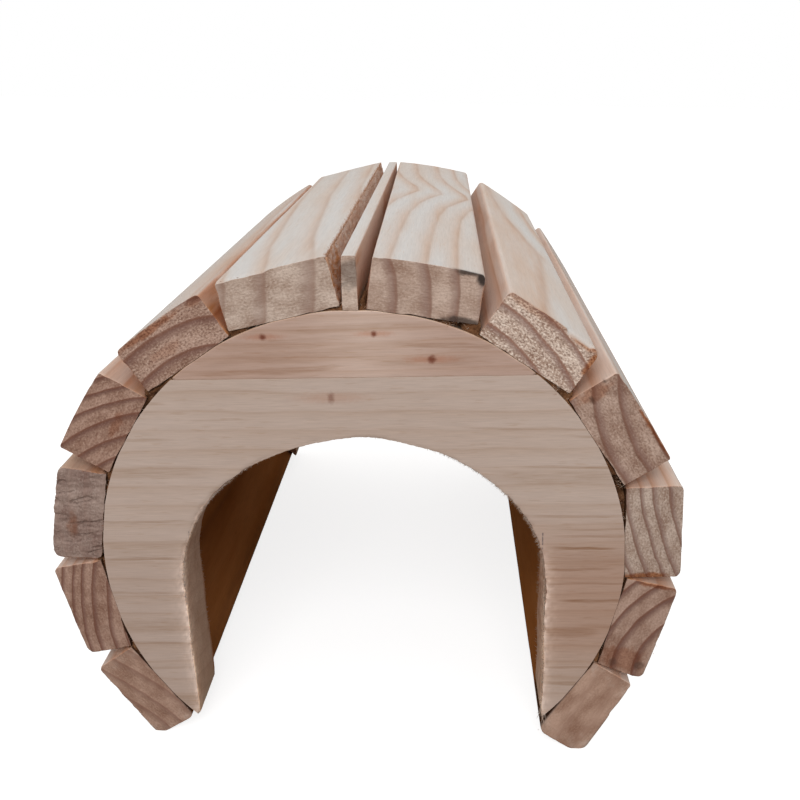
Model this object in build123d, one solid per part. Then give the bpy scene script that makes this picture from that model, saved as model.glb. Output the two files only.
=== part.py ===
from build123d import *
from dataclasses import dataclass
from math import asin, atan, atan2, cos, degrees, hypot, radians, sin
import os

os.makedirs("parts", exist_ok=True)

# Millimetres. +X is to the right seen from the entrance, +Y runs into the tunnel, +Z is up.
# The ring of laths is laid out round its own axis first. The whole house is then rocked
# onto its two foot laths and lifted, so that it stands on Z = 0.

# ---- overall sizes ---------------------------------------------------------------------
HOUSE_LENGTH = 176.0        # every lath runs the whole length, flush with both arches
ARCH_RADIUS = 60.0          # round rim that the laths are glued to
ARCH_THICKNESS = 16.0       # each arch is cut from one edge-glued panel

# ---- entrance cut through both arches --------------------------------------------------
OPENING_WIDTH = 84.0
OPENING_CROWN = 31.2        # top of the entrance above the ring axis
SPRINGING_DROP = 5.7        # the straight legs end this far below the ring axis
SHOULDER_SHARE = 0.895      # shoulder radius over the entrance's rise above its straight legs

# ---- how the pieces meet ---------------------------------------------------------------
TOP_BOARD_DEPTH = 14.8      # from the rim's highest point down to the panel's glue line
ARCH_TURN = 2.0             # degrees the arches are turned inside the ring of laths
SEAT_DEPTH = 0.15           # the rim is planed flat this deep under each lath
TOE_RISE = 0.4              # the arch legs stop this far above the foot laths' inner corners
GLUE_LINE = 0.1             # between two laths pushed together
FOOT_SANDING = 0.45         # taken off the two lower corners so that the house stands still


@dataclass
class Lath:
    """One lath of the ring, named clockwise from the left foot as seen from the entrance.

    Its flat inner side touches the round rim along one line, and slide is how far the
    lath's middle lies past that line. The thickness is that at the corner met first when
    going clockwise, and slant is how much thicker the lath is at the other one. The hand
    plane left the outer side a little bowed, and crown is the height of that bow. The wear
    radii are those of the long corners, the first one and the last one. A flare makes the
    outer side wider than the glued side.
    """

    name: str
    width: float
    thickness: float
    slant: float = 0.0
    crown: float = 0.1
    slide: float = 0.0
    gap_after: float = GLUE_LINE
    first_wear: float = 0.8
    last_wear: float = 0.8
    inner_first_wear: float = 0.4
    inner_last_wear: float = 0.4
    first_flare: float = 0.0
    last_flare: float = 0.0
    first_flare_at_rear: float = 0.0


LATHS = (
    Lath("left_foot_lath", width=24.1, thickness=11.4, slant=-0.5, crown=0.05, slide=0.8,
         first_wear=2.0, last_wear=1.3, inner_first_wear=2.0, first_flare=-0.6),
    Lath("left_lower_lath", width=24.1, thickness=11.0, slant=0.8, slide=-0.2,
         first_wear=1.8, last_wear=1.2),
    Lath("left_weathered_lath", width=22.3, thickness=11.6, slant=-0.5, crown=0.45, slide=1.2,
         gap_after=0.5, first_wear=1.8, last_wear=1.5, inner_first_wear=1.0, first_flare=1.2),
    Lath("left_upper_lath", width=20.8, thickness=12.2, slant=-0.5, crown=0.4, slide=0.7,
         gap_after=1.3, first_wear=0.6, last_wear=0.6),
    Lath("left_shoulder_lath", width=22.7, thickness=11.0, slant=0.1, crown=0.55, slide=-3.0,
         gap_after=0.2, first_wear=1.0, last_wear=0.9),
    Lath("ridge_left_lath", width=24.5, thickness=10.85, slant=0.2, slide=-1.6, gap_after=0.3,
         first_wear=0.9, last_wear=0.6),
    Lath("filler_strip", width=3.5, thickness=11.6, crown=0.04, slide=-0.4, gap_after=1.5,
         first_wear=0.3, last_wear=0.3, inner_first_wear=0.2, inner_last_wear=0.2,
         first_flare=-0.2, last_flare=-0.3),
    Lath("ridge_right_lath", width=23.6, thickness=11.2, slant=-0.7, crown=0.5, slide=5.8,
         gap_after=1.0, first_wear=0.6, last_wear=0.9, first_flare_at_rear=2.4),
    Lath("right_shoulder_lath", width=23.5, thickness=11.4, slant=-0.4, crown=0.25, slide=3.1,
         gap_after=1.0, first_wear=1.2, last_wear=1.9),
    Lath("right_upper_lath", width=23.8, thickness=12.0, slant=-0.3, crown=0.25, slide=3.6,
         gap_after=0.6, first_wear=0.8, last_wear=0.6),
    Lath("right_middle_lath", width=22.6, thickness=12.7, slant=-0.1, slide=-4.8,
         first_wear=1.2, last_wear=1.7, last_flare=0.4),
    Lath("right_lower_lath", width=23.8, thickness=12.2, slant=-0.9, crown=0.15, slide=1.6,
         first_wear=1.3, last_wear=1.8, last_flare=1.8),
    Lath("right_foot_lath", width=23.6, thickness=11.2, slant=2.2, crown=0.05, slide=3.6,
         first_wear=0.8, last_wear=3.2, inner_last_wear=2.6),
)

SEAT_RADIUS = ARCH_RADIUS - SEAT_DEPTH


# ---- layout of the ring ----------------------------------------------------------------
def arc_before(lath):
    """Degrees round the ring from the lath's first inner corner to its contact line."""
    return degrees(atan((lath.width / 2 - lath.slide) / SEAT_RADIUS))


def arc_after(lath):
    """Degrees round the ring from the lath's contact line to its last inner corner."""
    return degrees(atan((lath.width / 2 + lath.slide) / SEAT_RADIUS))


def ring_angles():
    """The angle of each lath's contact line, measured from +X towards +Z."""
    gaps = [degrees(lath.gap_after / SEAT_RADIUS) for lath in LATHS]
    span = sum(arc_before(lath) + arc_after(lath) for lath in LATHS) + sum(gaps[:-1])
    start = 90 + span / 2
    angles = []
    for lath, gap in zip(LATHS, gaps):
        contact = start - arc_before(lath)
        angles.append(contact)
        start = contact - arc_after(lath) - gap
    return angles


def ring_point(angle, along, outward):
    """A point given along a lath's width and outward from its seat, as (x, z)."""
    radius = SEAT_RADIUS + outward
    turn = radians(angle)
    return (radius * cos(turn) + along * sin(turn), radius * sin(turn) - along * cos(turn))


def outer_corner(lath, side):
    """The middle of an outer corner's wear radius, along the width and outward.

    Side is -1 for the first corner and 1 for the last one. The outer side is a little
    sloped there by its slant and its bow.
    """
    wear = lath.first_wear if side < 0 else lath.last_wear
    thickness = lath.thickness if side < 0 else lath.thickness + lath.slant
    flare = lath.first_flare if side < 0 else lath.last_flare
    rise = (4 * lath.crown - side * lath.slant) / lath.width
    lean = flare / thickness
    across = lath.width / 2 + flare * (1 - wear / thickness) - wear * hypot(1, lean)
    outward = thickness + wear * rise - wear * hypot(1, rise)
    return lath.slide + side * across, outward


def standing_line(angles):
    """How the ring has to rock and rise to stand on its two foot laths.

    The floor is the common tangent below the two worn corners. Returns the angle to rock
    by in degrees and the height of the ring axis above that floor.
    """
    left, right = LATHS[0], LATHS[-1]
    left_x, left_z = ring_point(angles[0], *outer_corner(left, -1))
    right_x, right_z = ring_point(angles[-1], *outer_corner(right, 1))
    apart = hypot(right_x - left_x, right_z - left_z)
    slope = atan2(right_z - left_z, right_x - left_x)
    slope -= asin((right.last_wear - left.first_wear) / apart)
    below = left_z * cos(slope) - left_x * sin(slope) - left.first_wear
    return degrees(slope), -below


# ---- laths -----------------------------------------------------------------------------
def lath_section(lath, rear_flare):
    """The four sharp corners of a lath's cross-section, seated on Z = 0 across the ring."""
    first = lath.slide - lath.width / 2
    last = lath.slide + lath.width / 2
    return [(first, 0), (last, 0),
            (last + lath.last_flare, lath.thickness + lath.slant),
            (first - lath.first_flare - rear_flare, lath.thickness)]


def section_face(lath, rear_flare, y):
    """The section as a face at one end of the lath, with its outer side bowed."""
    inner_first, inner_last, outer_last, outer_first = [
        (x, y, z) for x, z in lath_section(lath, rear_flare)]
    bow = ((outer_first[0] + outer_last[0]) / 2, y,
           (outer_first[2] + outer_last[2]) / 2 + lath.crown)
    return make_face([
        Line(inner_first, inner_last),
        Line(inner_last, outer_last),
        ThreePointArc(outer_last, bow, outer_first),
        Line(outer_first, inner_first),
    ])


def lath_blank(lath):
    """The sharp-cornered lath, from its front section to its rear section."""
    front = section_face(lath, 0, -HOUSE_LENGTH / 2)
    if not lath.first_flare_at_rear:
        return extrude(front, HOUSE_LENGTH, dir=(0, 1, 0)).solid()
    rear = section_face(lath, lath.first_flare_at_rear, HOUSE_LENGTH / 2)
    return loft([front, rear], ruled=True).solid()


def long_edge_near(solid, corner):
    """The lengthwise edge that starts at this corner of the front section."""
    x, z = corner
    start = Vector(x, -HOUSE_LENGTH / 2, z)
    lengthwise = [edge for edge in solid.edges() if edge.length > HOUSE_LENGTH * 0.9]
    return min(lengthwise, key=lambda edge: edge.distance_to(start))


def worn_lath(lath):
    """The lath with each of its four long corners worn to its own radius."""
    solid = lath_blank(lath)
    corners = lath_section(lath, 0)
    wear = (lath.inner_first_wear, lath.inner_last_wear, lath.last_wear, lath.first_wear)
    for corner, radius in zip(corners, wear):
        solid = solid.fillet(radius, [long_edge_near(solid, corner)])
    return solid


def seated(shape, angle):
    """A lath moved from its own frame to its place on the ring."""
    return Rot(0, 90 - angle, 0) * Pos(0, 0, SEAT_RADIUS) * shape


# ---- arches ----------------------------------------------------------------------------
def entrance_outline():
    """The entrance: two straight legs, two shoulder arcs and a flatter crown arc."""
    half = OPENING_WIDTH / 2
    spring = -SPRINGING_DROP
    rise = OPENING_CROWN - spring
    shoulder = SHOULDER_SHARE * rise
    inset = half - shoulder
    crown_radius = (inset ** 2 + rise ** 2 - shoulder ** 2) / (2 * (rise - shoulder))
    crown_centre = OPENING_CROWN - crown_radius
    lean = atan2(spring - crown_centre, inset)
    join_x = crown_radius * cos(lean)
    join_z = crown_centre + crown_radius * sin(lean)
    middle_x = inset + shoulder * cos(lean / 2)
    middle_z = spring + shoulder * sin(lean / 2)
    floor = -1.5 * ARCH_RADIUS
    return [
        Line((-half, 0, floor), (-half, 0, spring)),
        ThreePointArc((-half, 0, spring), (-middle_x, 0, middle_z), (-join_x, 0, join_z)),
        ThreePointArc((-join_x, 0, join_z), (0, 0, OPENING_CROWN), (join_x, 0, join_z)),
        ThreePointArc((join_x, 0, join_z), (middle_x, 0, middle_z), (half, 0, spring)),
        Line((half, 0, spring), (half, 0, floor)),
        Line((half, 0, floor), (-half, 0, floor)),
    ]


def arch_panel(angles):
    """The whole panel of one arch, centred on Y = 0, with the rim planed for each lath."""
    disc = Rot(90, 0, 0) * Cylinder(ARCH_RADIUS, ARCH_THICKNESS)
    entrance = extrude(make_face(entrance_outline()), ARCH_THICKNESS, dir=(0, 1, 0), both=True)
    panel = disc - Rot(0, -ARCH_TURN, 0) * entrance
    for lath, angle in zip(LATHS, angles):
        panel -= seated(lath_blank(lath), angle)
    return panel - below_toes(angles)


def below_toes(angles):
    """Everything under the line that joins the foot laths' inner corners."""
    left, right = LATHS[0], LATHS[-1]
    left_x, left_z = ring_point(angles[0], left.slide - left.width / 2, 0)
    right_x, right_z = ring_point(angles[-1], right.slide + right.width / 2, 0)
    slope = degrees(atan2(right_z - left_z, right_x - left_x))
    size = 4 * ARCH_RADIUS
    block = Pos(0, 0, TOE_RISE - size / 2) * Box(size, size, size)
    return Pos((left_x + right_x) / 2, 0, (left_z + right_z) / 2) * Rot(0, -slope, 0) * block


def arch_boards(panel):
    """The panel parted along its glue line into the top board and the main board."""
    size = 4 * ARCH_RADIUS
    above = Pos(0, 0, ARCH_RADIUS - TOP_BOARD_DEPTH + size / 2) * Box(size, size, size)
    above = Rot(0, -ARCH_TURN, 0) * above
    return panel & above, panel - above


# ---- whole house -----------------------------------------------------------------------
def house_in_ring_frame():
    """Every piece by name, placed round the ring axis."""
    angles = ring_angles()
    pieces = {lath.name: seated(worn_lath(lath), angle) for lath, angle in zip(LATHS, angles)}
    top_board, main_board = arch_boards(arch_panel(angles))
    inset = (HOUSE_LENGTH - ARCH_THICKNESS) / 2
    pieces["front_arch_top_board"] = Pos(0, -inset, 0) * top_board
    pieces["front_arch_main_board"] = Pos(0, -inset, 0) * main_board
    pieces["rear_arch_top_board"] = Pos(0, inset, 0) * top_board
    pieces["rear_arch_main_board"] = Pos(0, inset, 0) * main_board
    return pieces, angles


def stand_up(pieces, angles):
    """Rock the house onto its feet, centre it and sand the two lower corners flat."""
    slope, axis_height = standing_line(angles)
    to_floor = Pos(0, 0, axis_height - FOOT_SANDING) * Rot(0, slope, 0)
    standing = {name: to_floor * piece for name, piece in pieces.items()}
    boxes = [piece.bounding_box() for piece in standing.values()]
    middle = (min(box.min.X for box in boxes) + max(box.max.X for box in boxes)) / 2
    standing = {name: Pos(-middle, 0, 0) * piece for name, piece in standing.items()}
    size = 4 * ARCH_RADIUS
    under_floor = Pos(0, 0, -size / 2) * Box(size, 2 * HOUSE_LENGTH, size)
    for lath in (LATHS[0], LATHS[-1]):
        standing[lath.name] = standing[lath.name] - under_floor
    return standing


def main():
    """Build the house and write one file for each piece."""
    pieces, angles = house_in_ring_frame()
    for name, piece in stand_up(pieces, angles).items():
        solid = piece.solids()[0]
        solid.label = name
        export_step(solid, f"parts/{name}.step")


main()
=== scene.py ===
import logging
import math
from dataclasses import dataclass
from enum import Enum, IntEnum
from itertools import product

import bpy
import numpy as np
from mathutils import Matrix, Vector


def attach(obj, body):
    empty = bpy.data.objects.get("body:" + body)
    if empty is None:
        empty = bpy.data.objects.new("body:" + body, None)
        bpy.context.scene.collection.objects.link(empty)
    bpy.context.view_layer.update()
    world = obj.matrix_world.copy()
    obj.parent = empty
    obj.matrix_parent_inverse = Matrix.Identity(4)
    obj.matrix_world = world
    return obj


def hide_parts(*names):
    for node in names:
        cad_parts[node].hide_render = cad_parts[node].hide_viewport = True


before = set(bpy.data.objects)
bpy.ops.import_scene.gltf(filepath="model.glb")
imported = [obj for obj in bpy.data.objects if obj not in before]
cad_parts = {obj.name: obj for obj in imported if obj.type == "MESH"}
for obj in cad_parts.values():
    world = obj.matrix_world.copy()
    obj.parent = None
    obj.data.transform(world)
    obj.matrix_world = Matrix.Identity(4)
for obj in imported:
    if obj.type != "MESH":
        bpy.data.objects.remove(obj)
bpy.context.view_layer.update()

LOG = logging.getLogger("hamster_house")
MM = 0.001  # every size below is in millimetres; meshes are written in metres
# What a piece's mesh says about each point, apart from its place in the grain.
MARKS = ("rings", "cut", "age", "stain_and_shade", "tone", "heart", "arcs", "fleck")
Array = np.ndarray
Node = bpy.types.Node
Point = tuple[float, float, float]
Stops = tuple[tuple[float, float], ...]


# ---- small tools ------------------------------------------------------------------------
def linear(hex_colour: str) -> tuple[float, float, float, float]:
    """Turn an sRGB hex colour into linear RGBA.

    Args:
        hex_colour: such as "#d8c4ae".

    Returns:
        Red, green and blue as linear light, and alpha 1.
    """
    channels = [int(hex_colour[i:i + 2], 16) / 255 for i in (1, 3, 5)]
    light = [c / 12.92 if c <= 0.04045 else ((c + 0.055) / 1.055) ** 2.4 for c in channels]
    return (light[0], light[1], light[2], 1.0)


def lattice_noise(points: Array, seed: int = 0) -> Array:
    """Smooth random values on a unit lattice.

    Args:
        points: (n, 3) places, one lattice cell to the unit.
        seed: another seed gives another pattern.

    Returns:
        (n,) values between -1 and 1.
    """
    spread, low_bits = (73856093, 19349663, 83492791, 26544357), 0xFFFFFFFF
    cell = np.floor(points).astype(np.int64)
    part = points - cell
    ease = part * part * (3 - 2 * part)
    total = np.zeros(len(points))
    for corner in product((0, 1), repeat=3):
        x, y, z = (cell + np.array(corner)).T
        mixed = (x * spread[0]) ^ (y * spread[1]) ^ (z * spread[2]) ^ (seed * spread[3])
        mixed &= low_bits
        for shift, factor in ((15, 2246822519), (13, 3266489917)):
            mixed = ((mixed ^ (mixed >> shift)) * factor) & low_bits
        value = ((mixed ^ (mixed >> 16)) & 0xFFFF) / 32767.5 - 1
        weight = np.prod(np.where(np.array(corner, dtype=bool), ease, 1 - ease), axis=1)
        total += value * weight
    return total


def layered_noise(points: Array, seed: int, layers: int = 3) -> Array:
    """Several layers of lattice noise, each twice as fine and half as strong.

    Args:
        points: (n, 3) places, one cell of the coarsest layer to the unit.
        seed: another seed gives another pattern.
        layers: how many layers to add.

    Returns:
        (n,) values between about -1 and 1.
    """
    apart = 17.3  # moves each layer, so that their lattices don't line up
    total = np.zeros(len(points))
    for layer in range(layers):
        total += lattice_noise(points * 2.0 ** layer + apart * layer, seed + layer) * 0.5 ** layer
    return total / (2 - 0.5 ** (layers - 1))


def smooth_step(low: float, high: float, value: Array) -> Array:
    """Go smoothly from 0 at low to 1 at high, which may also be the smaller number.

    Args:
        low: where it starts.
        high: where it ends.
        value: the numbers to map.

    Returns:
        Numbers between 0 and 1.
    """
    part = np.clip((value - low) / (high - low), 0, 1)
    return part * part * (3 - 2 * part)


def polar(reach: Array | float, turns: Array, along: Array | float) -> Array:
    """Points round the ring axis.

    Args:
        reach: distances from the axis.
        turns: directions in radians, of any shape.
        along: places lengthwise.

    Returns:
        The points, with their three numbers last.
    """
    across, up = reach * np.cos(turns), reach * np.sin(turns)
    return np.stack(np.broadcast_arrays(across, up, along), axis=-1)


# ---- the house as a whole ---------------------------------------------------------------
@dataclass(frozen=True)
class HouseFrame:
    """Where the ring of laths and the two arches stand."""

    length: float = 176.0
    axis_x: float = -0.2137
    axis_height: float = 49.829
    rim_radius: float = 60.0
    seat_radius: float = 59.85  # the rim is planed down to this under the middle of each lath
    arch_thickness: float = 16.0
    arch_tilt: float = 2.525
    toe_height: float = 5.53    # the legs of the arches end this far above the floor

    def lath_to_world(self, local: Array, angle: float) -> Array:
        """Move lath points (along its width, outward, lengthwise) to their place.

        Args:
            local: (n, 3) points in the lath's frame.
            angle: degrees of the lath's contact line round the ring.

        Returns:
            (n, 3) points in millimetres in the house's frame.
        """
        turn = math.radians(angle)
        reach = self.seat_radius + local[:, 1]
        x = self.axis_x + reach * math.cos(turn) + local[:, 0] * math.sin(turn)
        z = self.axis_height + reach * math.sin(turn) - local[:, 0] * math.cos(turn)
        return np.stack([x, local[:, 2] - self.length / 2, z], axis=1)

    def arch_to_world(self, local: Array) -> Array:
        """Move arch points (across, up, lengthwise) from the tilted arch to their place.

        Args:
            local: (n, 3) points in the arch's frame, round the ring axis.

        Returns:
            (n, 3) points in millimetres in the house's frame.
        """
        turn = math.radians(self.arch_tilt)
        x = self.axis_x + local[:, 0] * math.cos(turn) - local[:, 1] * math.sin(turn)
        z = self.axis_height + local[:, 0] * math.sin(turn) + local[:, 1] * math.cos(turn)
        return np.stack([x, local[:, 2], z], axis=1)


HOUSE = HouseFrame()


# ---- finishes ---------------------------------------------------------------------------
class Cut(Enum):
    """How a face lies to the grain, which decides what it shows."""

    ALONG = "along the grain"
    ACROSS = "across the grain"
    EITHER = "by the part's own mark"


class Slot(IntEnum):
    """Material slots that every timber piece has."""

    FACE = 0
    SAWN = 1
    FIBRE = 2
    # The inner side of a lath, whose brown finish is painted shade.
    INSIDE_PAINTED_SHADE = 3


# How much summerwood there is at each place in a growth ring, from its inner edge 0 to its
# outer edge 1. A planed face cuts the rings at a slant, so the bands are broad and soft there.
SLANTED_RING = ((0.0, 0.75), (0.09, 0.2), (0.26, 0.0), (0.46, 0.05), (0.68, 0.45), (0.88, 0.95),
                (0.96, 1.0), (1.0, 0.75))
SAWN_RING = ((0.0, 0.8), (0.04, 0.1), (0.3, 0.0), (0.6, 0.06), (0.74, 0.55), (0.88, 0.92),
             (0.97, 1.0), (1.0, 0.8))
# The hard line where summerwood stops and the next ring's springwood starts.
RING_LINE = ((0.0, 0.7), (0.035, 0.0), (0.86, 0.0), (0.97, 1.0), (1.0, 0.7))


class Nodes:
    """The node tree of a material or of the world, while it is being filled."""

    def __init__(self, owner: bpy.types.ID) -> None:
        """Start with an empty tree."""
        owner.use_nodes = True
        self.tree = owner.node_tree
        self.tree.nodes.clear()

    def add(self, kind: str, inputs: dict | None = None, **settings: object) -> Node:
        """Add a shader node with its options, constants and links.

        Args:
            kind: Blender's name for the node, after "ShaderNode".
            inputs: socket name or index to a constant, a socket, or a node's first live output.
            settings: options by name; "stops" fills a colour ramp with (place, grey).

        Returns:
            The new node.
        """
        node = self.tree.nodes.new("ShaderNode" + kind)
        stops = settings.pop("stops", ())
        for name, value in settings.items():
            setattr(node, name, value)
        for _ in stops[2:]:
            node.color_ramp.elements.new(1.0)
        for element, (place, grey) in zip(node.color_ramp.elements if stops else (), stops):
            element.position = place
            element.color = (grey, grey, grey, 1)
        for name, value in (inputs or {}).items():
            if isinstance(value, Node):
                value = next(socket for socket in value.outputs if socket.enabled)
            if isinstance(value, bpy.types.NodeSocket):
                self.tree.links.new(value, node.inputs[name])
            else:
                node.inputs[name].default_value = value
        return node


class WoodNodes(Nodes):
    """The nodes of a wood, which read the marks that every piece carries."""

    def __init__(self, owner: bpy.types.Material, ring: Stops) -> None:
        """Read the marks and work out the growth rings.

        Args:
            owner: the new material.
            ring: how much summerwood there is at each place in a ring.
        """
        super().__init__(owner)
        self.grain = self.add("Attribute", attribute_name="grain").outputs["Vector"]
        self.marks = {name: self.add("Attribute", attribute_name=name).outputs["Fac"]
                      for name in MARKS}
        part = self.add("Math", {0: self.marks["rings"]}, operation="FRACT")
        self.late = self.add("ValToRGB", {0: part}, stops=ring)
        self.line = self.add("ValToRGB", {0: part}, stops=RING_LINE)

    def noise(self, per_mm: Point, detail: float) -> Node:
        """Add noise drawn out along the fibres.

        Args:
            per_mm: cells to the millimetre, twice across the grain and once along it.
            detail: how many finer layers.

        Returns:
            The noise node.
        """
        place = self.add("VectorMath", {0: self.grain, 1: per_mm}, operation="MULTIPLY")
        return self.add("TexNoise", {"Vector": place, "Scale": 1.0, "Detail": detail,
                                     "Roughness": 0.6})

    def lay(self, colour: Node, tint: str, share: Node | bpy.types.NodeSocket,
            most: Node | float, blend: str = "MIX") -> Node:
        """Lay a tint over a colour.

        Args:
            colour: the colour so far.
            tint: the hex colour to lay on.
            share: where it lies, from 0 to 1.
            most: how strong it is where share is 1.
            blend: how the two mix.

        Returns:
            The new colour.
        """
        share = self.add("Math", {0: share, 1: most}, operation="MULTIPLY")
        return self.add("Mix", {"Factor": share, 6: colour, 7: linear(tint)}, data_type="RGBA",
                        blend_type=blend)


@dataclass(frozen=True)
class Knot:
    """A pin knot in a face, with the grain flowing round it. Places are on that face."""

    along: float
    across: float
    radius: float
    stretch: float = 1.0
    depth: float = 1.0


@dataclass(frozen=True)
class Tick:
    """A pencil line across the grain, from low to high."""

    along: float
    low: float
    high: float


@dataclass(frozen=True)
class Streak:
    """A brown band along the grain of a board, at a height above the ring axis."""

    height: float
    half: float
    strength: float
    start: float
    stop: float
    slope: float = 0.0

    @property
    def most(self) -> float:
        """How strong it is in its middle: a broad resin band is fainter than a pitch line."""
        return self.strength ** 1.4 * (0.75 if self.half >= 1 else 1.05)


@dataclass(frozen=True)
class PineFinish:
    """Plantation pine, bare and dry, as one kind of tool leaves it.

    Growth rings come with each piece, because each was cut from another part of the trunk:
    the mesh carries a running ring number and its place in the grain, in millimetres.
    """

    name: str
    cut: Cut
    early: str = "#cecbc8"          # springwood, planed
    early_warm: str = "#ccc1b8"     # springwood, richer in resin
    late: str = "#c09d82"           # summerwood seen lengthwise
    late_strength: float = 0.62
    ring_edge: str = "#8d6244"      # the hard line that ends each ring
    end_light: str = "#d9c6b8"      # springwood sawn across
    end_dark: str = "#a88d7c"
    end_late: str = "#83635c"       # summerwood sawn across
    end_painted_highlight: str = "#efe2d6"      # painted highlights on the torn cell walls
    end_painted_shadow: str = "#74574a"        # and painted shadows in the pits beside them
    browned_and_shaded: str = "#cd9363"           # browning of edges and resin, and painted shade low in the gaps and inside the house
    stain_and_shade: str = "#2f2825"          # blue staining and dirt, and painted shade in the splits of weathered ends
    heart: str = "#c4886a"          # reddish heartwood
    pitch: str = "#8f6a44"          # resin bands and pitch lines
    knot_wood: str = "#74412f"      # a pin knot
    knot_grain: str = "#b98468"     # and the grain that streams past it
    graphite: str = "#4a4654"       # pencil ticks
    heart_share: float = 0.25
    gloss: float = 0.15
    roughness: float = 0.68
    fibre_height: float = 0.02
    end_height: float = 0.30
    knots: tuple[Knot, ...] = ()
    streaks: tuple[Streak, ...] = ()
    ticks: tuple[Tick, ...] = ()

    def material(self) -> bpy.types.Material:
        """Build the material once and hand it out after that."""
        known = bpy.data.materials.get(self.name)
        if known:
            return known
        made = bpy.data.materials.new(self.name)
        wood = WoodNodes(made, SLANTED_RING if self.cut is Cut.ALONG else SAWN_RING)
        colour, height = self._surface(wood)
        if self.streaks:
            colour = self._streaked(wood, colour)
        for knot in self.knots:
            colour = self._knotted(wood, colour, knot)
        colour = self._marked(wood, colour)
        bump = wood.add("Bump", {"Strength": 1.0, "Distance": MM, "Height": height})
        # Summerwood is dense, so the tool leaves it a little smoother.
        rough = wood.add("MapRange", {"Value": wood.late, "To Min": self.roughness,
                                      "To Max": self.roughness - 0.1})
        shader = wood.add("BsdfPrincipled", {
            "Base Color": colour, "Roughness": rough, "Normal": bump, "IOR": 1.5,
            "Specular IOR Level": self.gloss})
        wood.add("OutputMaterial", {"Surface": shader})
        return made

    def _surface(self, wood: WoodNodes) -> tuple[Node, Node]:
        """Colour and height of the wood for this finish's cut.

        Args:
            wood: the material's nodes.

        Returns:
            The colour node and the height node, in millimetres.
        """
        if self.cut is Cut.ALONG:
            return self._long_grain(wood)
        if self.cut is Cut.ACROSS:
            return self._end_grain(wood)
        (long_colour, long_height), (end_colour, end_height) = (
            self._long_grain(wood), self._end_grain(wood))
        share = wood.marks["cut"]
        return (wood.add("Mix", {"Factor": share, 6: long_colour, 7: end_colour},
                         data_type="RGBA"),
                wood.add("Mix", {"Factor": share, 2: long_height, 3: end_height}))

    def _long_grain(self, wood: WoodNodes) -> tuple[Node, Node]:
        """Faces that show the fibres lengthwise: soft bands, fine streaks and resin canals.

        Args:
            wood: the material's nodes.

        Returns:
            The colour node and the height node, in millimetres.
        """
        # Clouds of resin 9 mm wide and 70 mm long, and bands that fade and return.
        clouds = wood.noise((0.11, 0.11, 0.014), 2.0)
        uneven = wood.noise((0.23, 0.23, 0.03), 2.0)
        # Tracheid bundles are 0.05 mm wide; they are drawn 0.25 mm wide so that they show.
        fibre = wood.noise((3.9, 3.9, 0.16), 3.0)
        canal = wood.noise((2.4, 2.4, 0.22), 1.0)
        warm = wood.add("MapRange", {"Value": clouds, "From Min": 0.38, "From Max": 0.66})
        colour = wood.add("Mix", {"Factor": warm, 6: linear(self.early),
                                  7: linear(self.early_warm)}, data_type="RGBA")
        strength = wood.add("MapRange", {
            "Value": uneven, "From Min": 0.3, "From Max": 0.7,
            "To Min": 0.45 * self.late_strength, "To Max": self.late_strength})
        figure = wood.add("Math", {0: wood.marks["arcs"], 1: 0.8, 2: 0.6},
                          operation="MULTIPLY_ADD")
        bands = wood.add("Math", {0: wood.late, 1: figure}, operation="MULTIPLY")
        for band, tint, most in ((bands, self.late, 1.0), (wood.line, self.ring_edge, 0.4)):
            share = wood.add("Math", {0: band, 1: strength}, operation="MULTIPLY")
            colour = wood.lay(colour, tint, share, most)
        dash = wood.add("MapRange", {"Value": canal, "From Min": 0.63, "From Max": 0.72,
                                     "To Max": 0.2})
        colour = wood.add("Mix", {"Factor": dash, 6: colour, 7: linear(self.late)},
                          data_type="RGBA")
        shade = wood.add("MapRange", {"Value": fibre, "From Min": 0.3, "From Max": 0.7,
                                      "To Min": 0.92, "To Max": 1.06})
        return (wood.add("VectorMath", {0: colour, "Scale": shade}, operation="SCALE"),
                wood.add("Math", {0: fibre, 1: self.fibre_height}, operation="MULTIPLY"))

    def _end_grain(self, wood: WoodNodes) -> tuple[Node, Node]:
        """Faces sawn across: coarse speckle of torn fibre ends in painted highlights and shadows,
        with dark summerwood arcs.

        Args:
            wood: the material's nodes.

        Returns:
            The colour node and the height node, in millimetres.
        """
        # Torn fibre ends are 0.1 mm across; they are drawn 0.5 mm across so that they show.
        torn = wood.noise((1.9, 2.3, 1.0), 2.5)
        # The saw drags the fibre ends over in rows about 0.4 mm apart.
        rows = wood.noise((0.6, 2.4, 0.8), 2.0)
        clouds = wood.noise((0.16, 0.22, 0.2), 1.0)
        fleck = wood.marks["fleck"]
        rough = wood.add("Math", {0: fleck, 1: 0.8, 2: 0.15}, operation="MULTIPLY_ADD")
        centred = wood.add("Math", {0: rows, 1: 0.5}, operation="SUBTRACT")
        mixed = wood.add("Math", {0: centred, 1: rough, 2: clouds}, operation="MULTIPLY_ADD")
        shade = wood.add("MapRange", {"Value": mixed, "From Min": 0.22, "From Max": 0.70})
        colour = wood.add("Mix", {"Factor": shade, 6: linear(self.end_dark),
                                  7: linear(self.end_light)}, data_type="RGBA")
        hard, edge = (wood.add("Math", {0: band, 1: wood.marks["arcs"]}, operation="MULTIPLY")
                      for band in (wood.late, wood.line))
        colour = wood.lay(colour, self.end_late, hard, 0.85)
        colour = wood.lay(colour, self.ring_edge, edge, 0.45)
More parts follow.
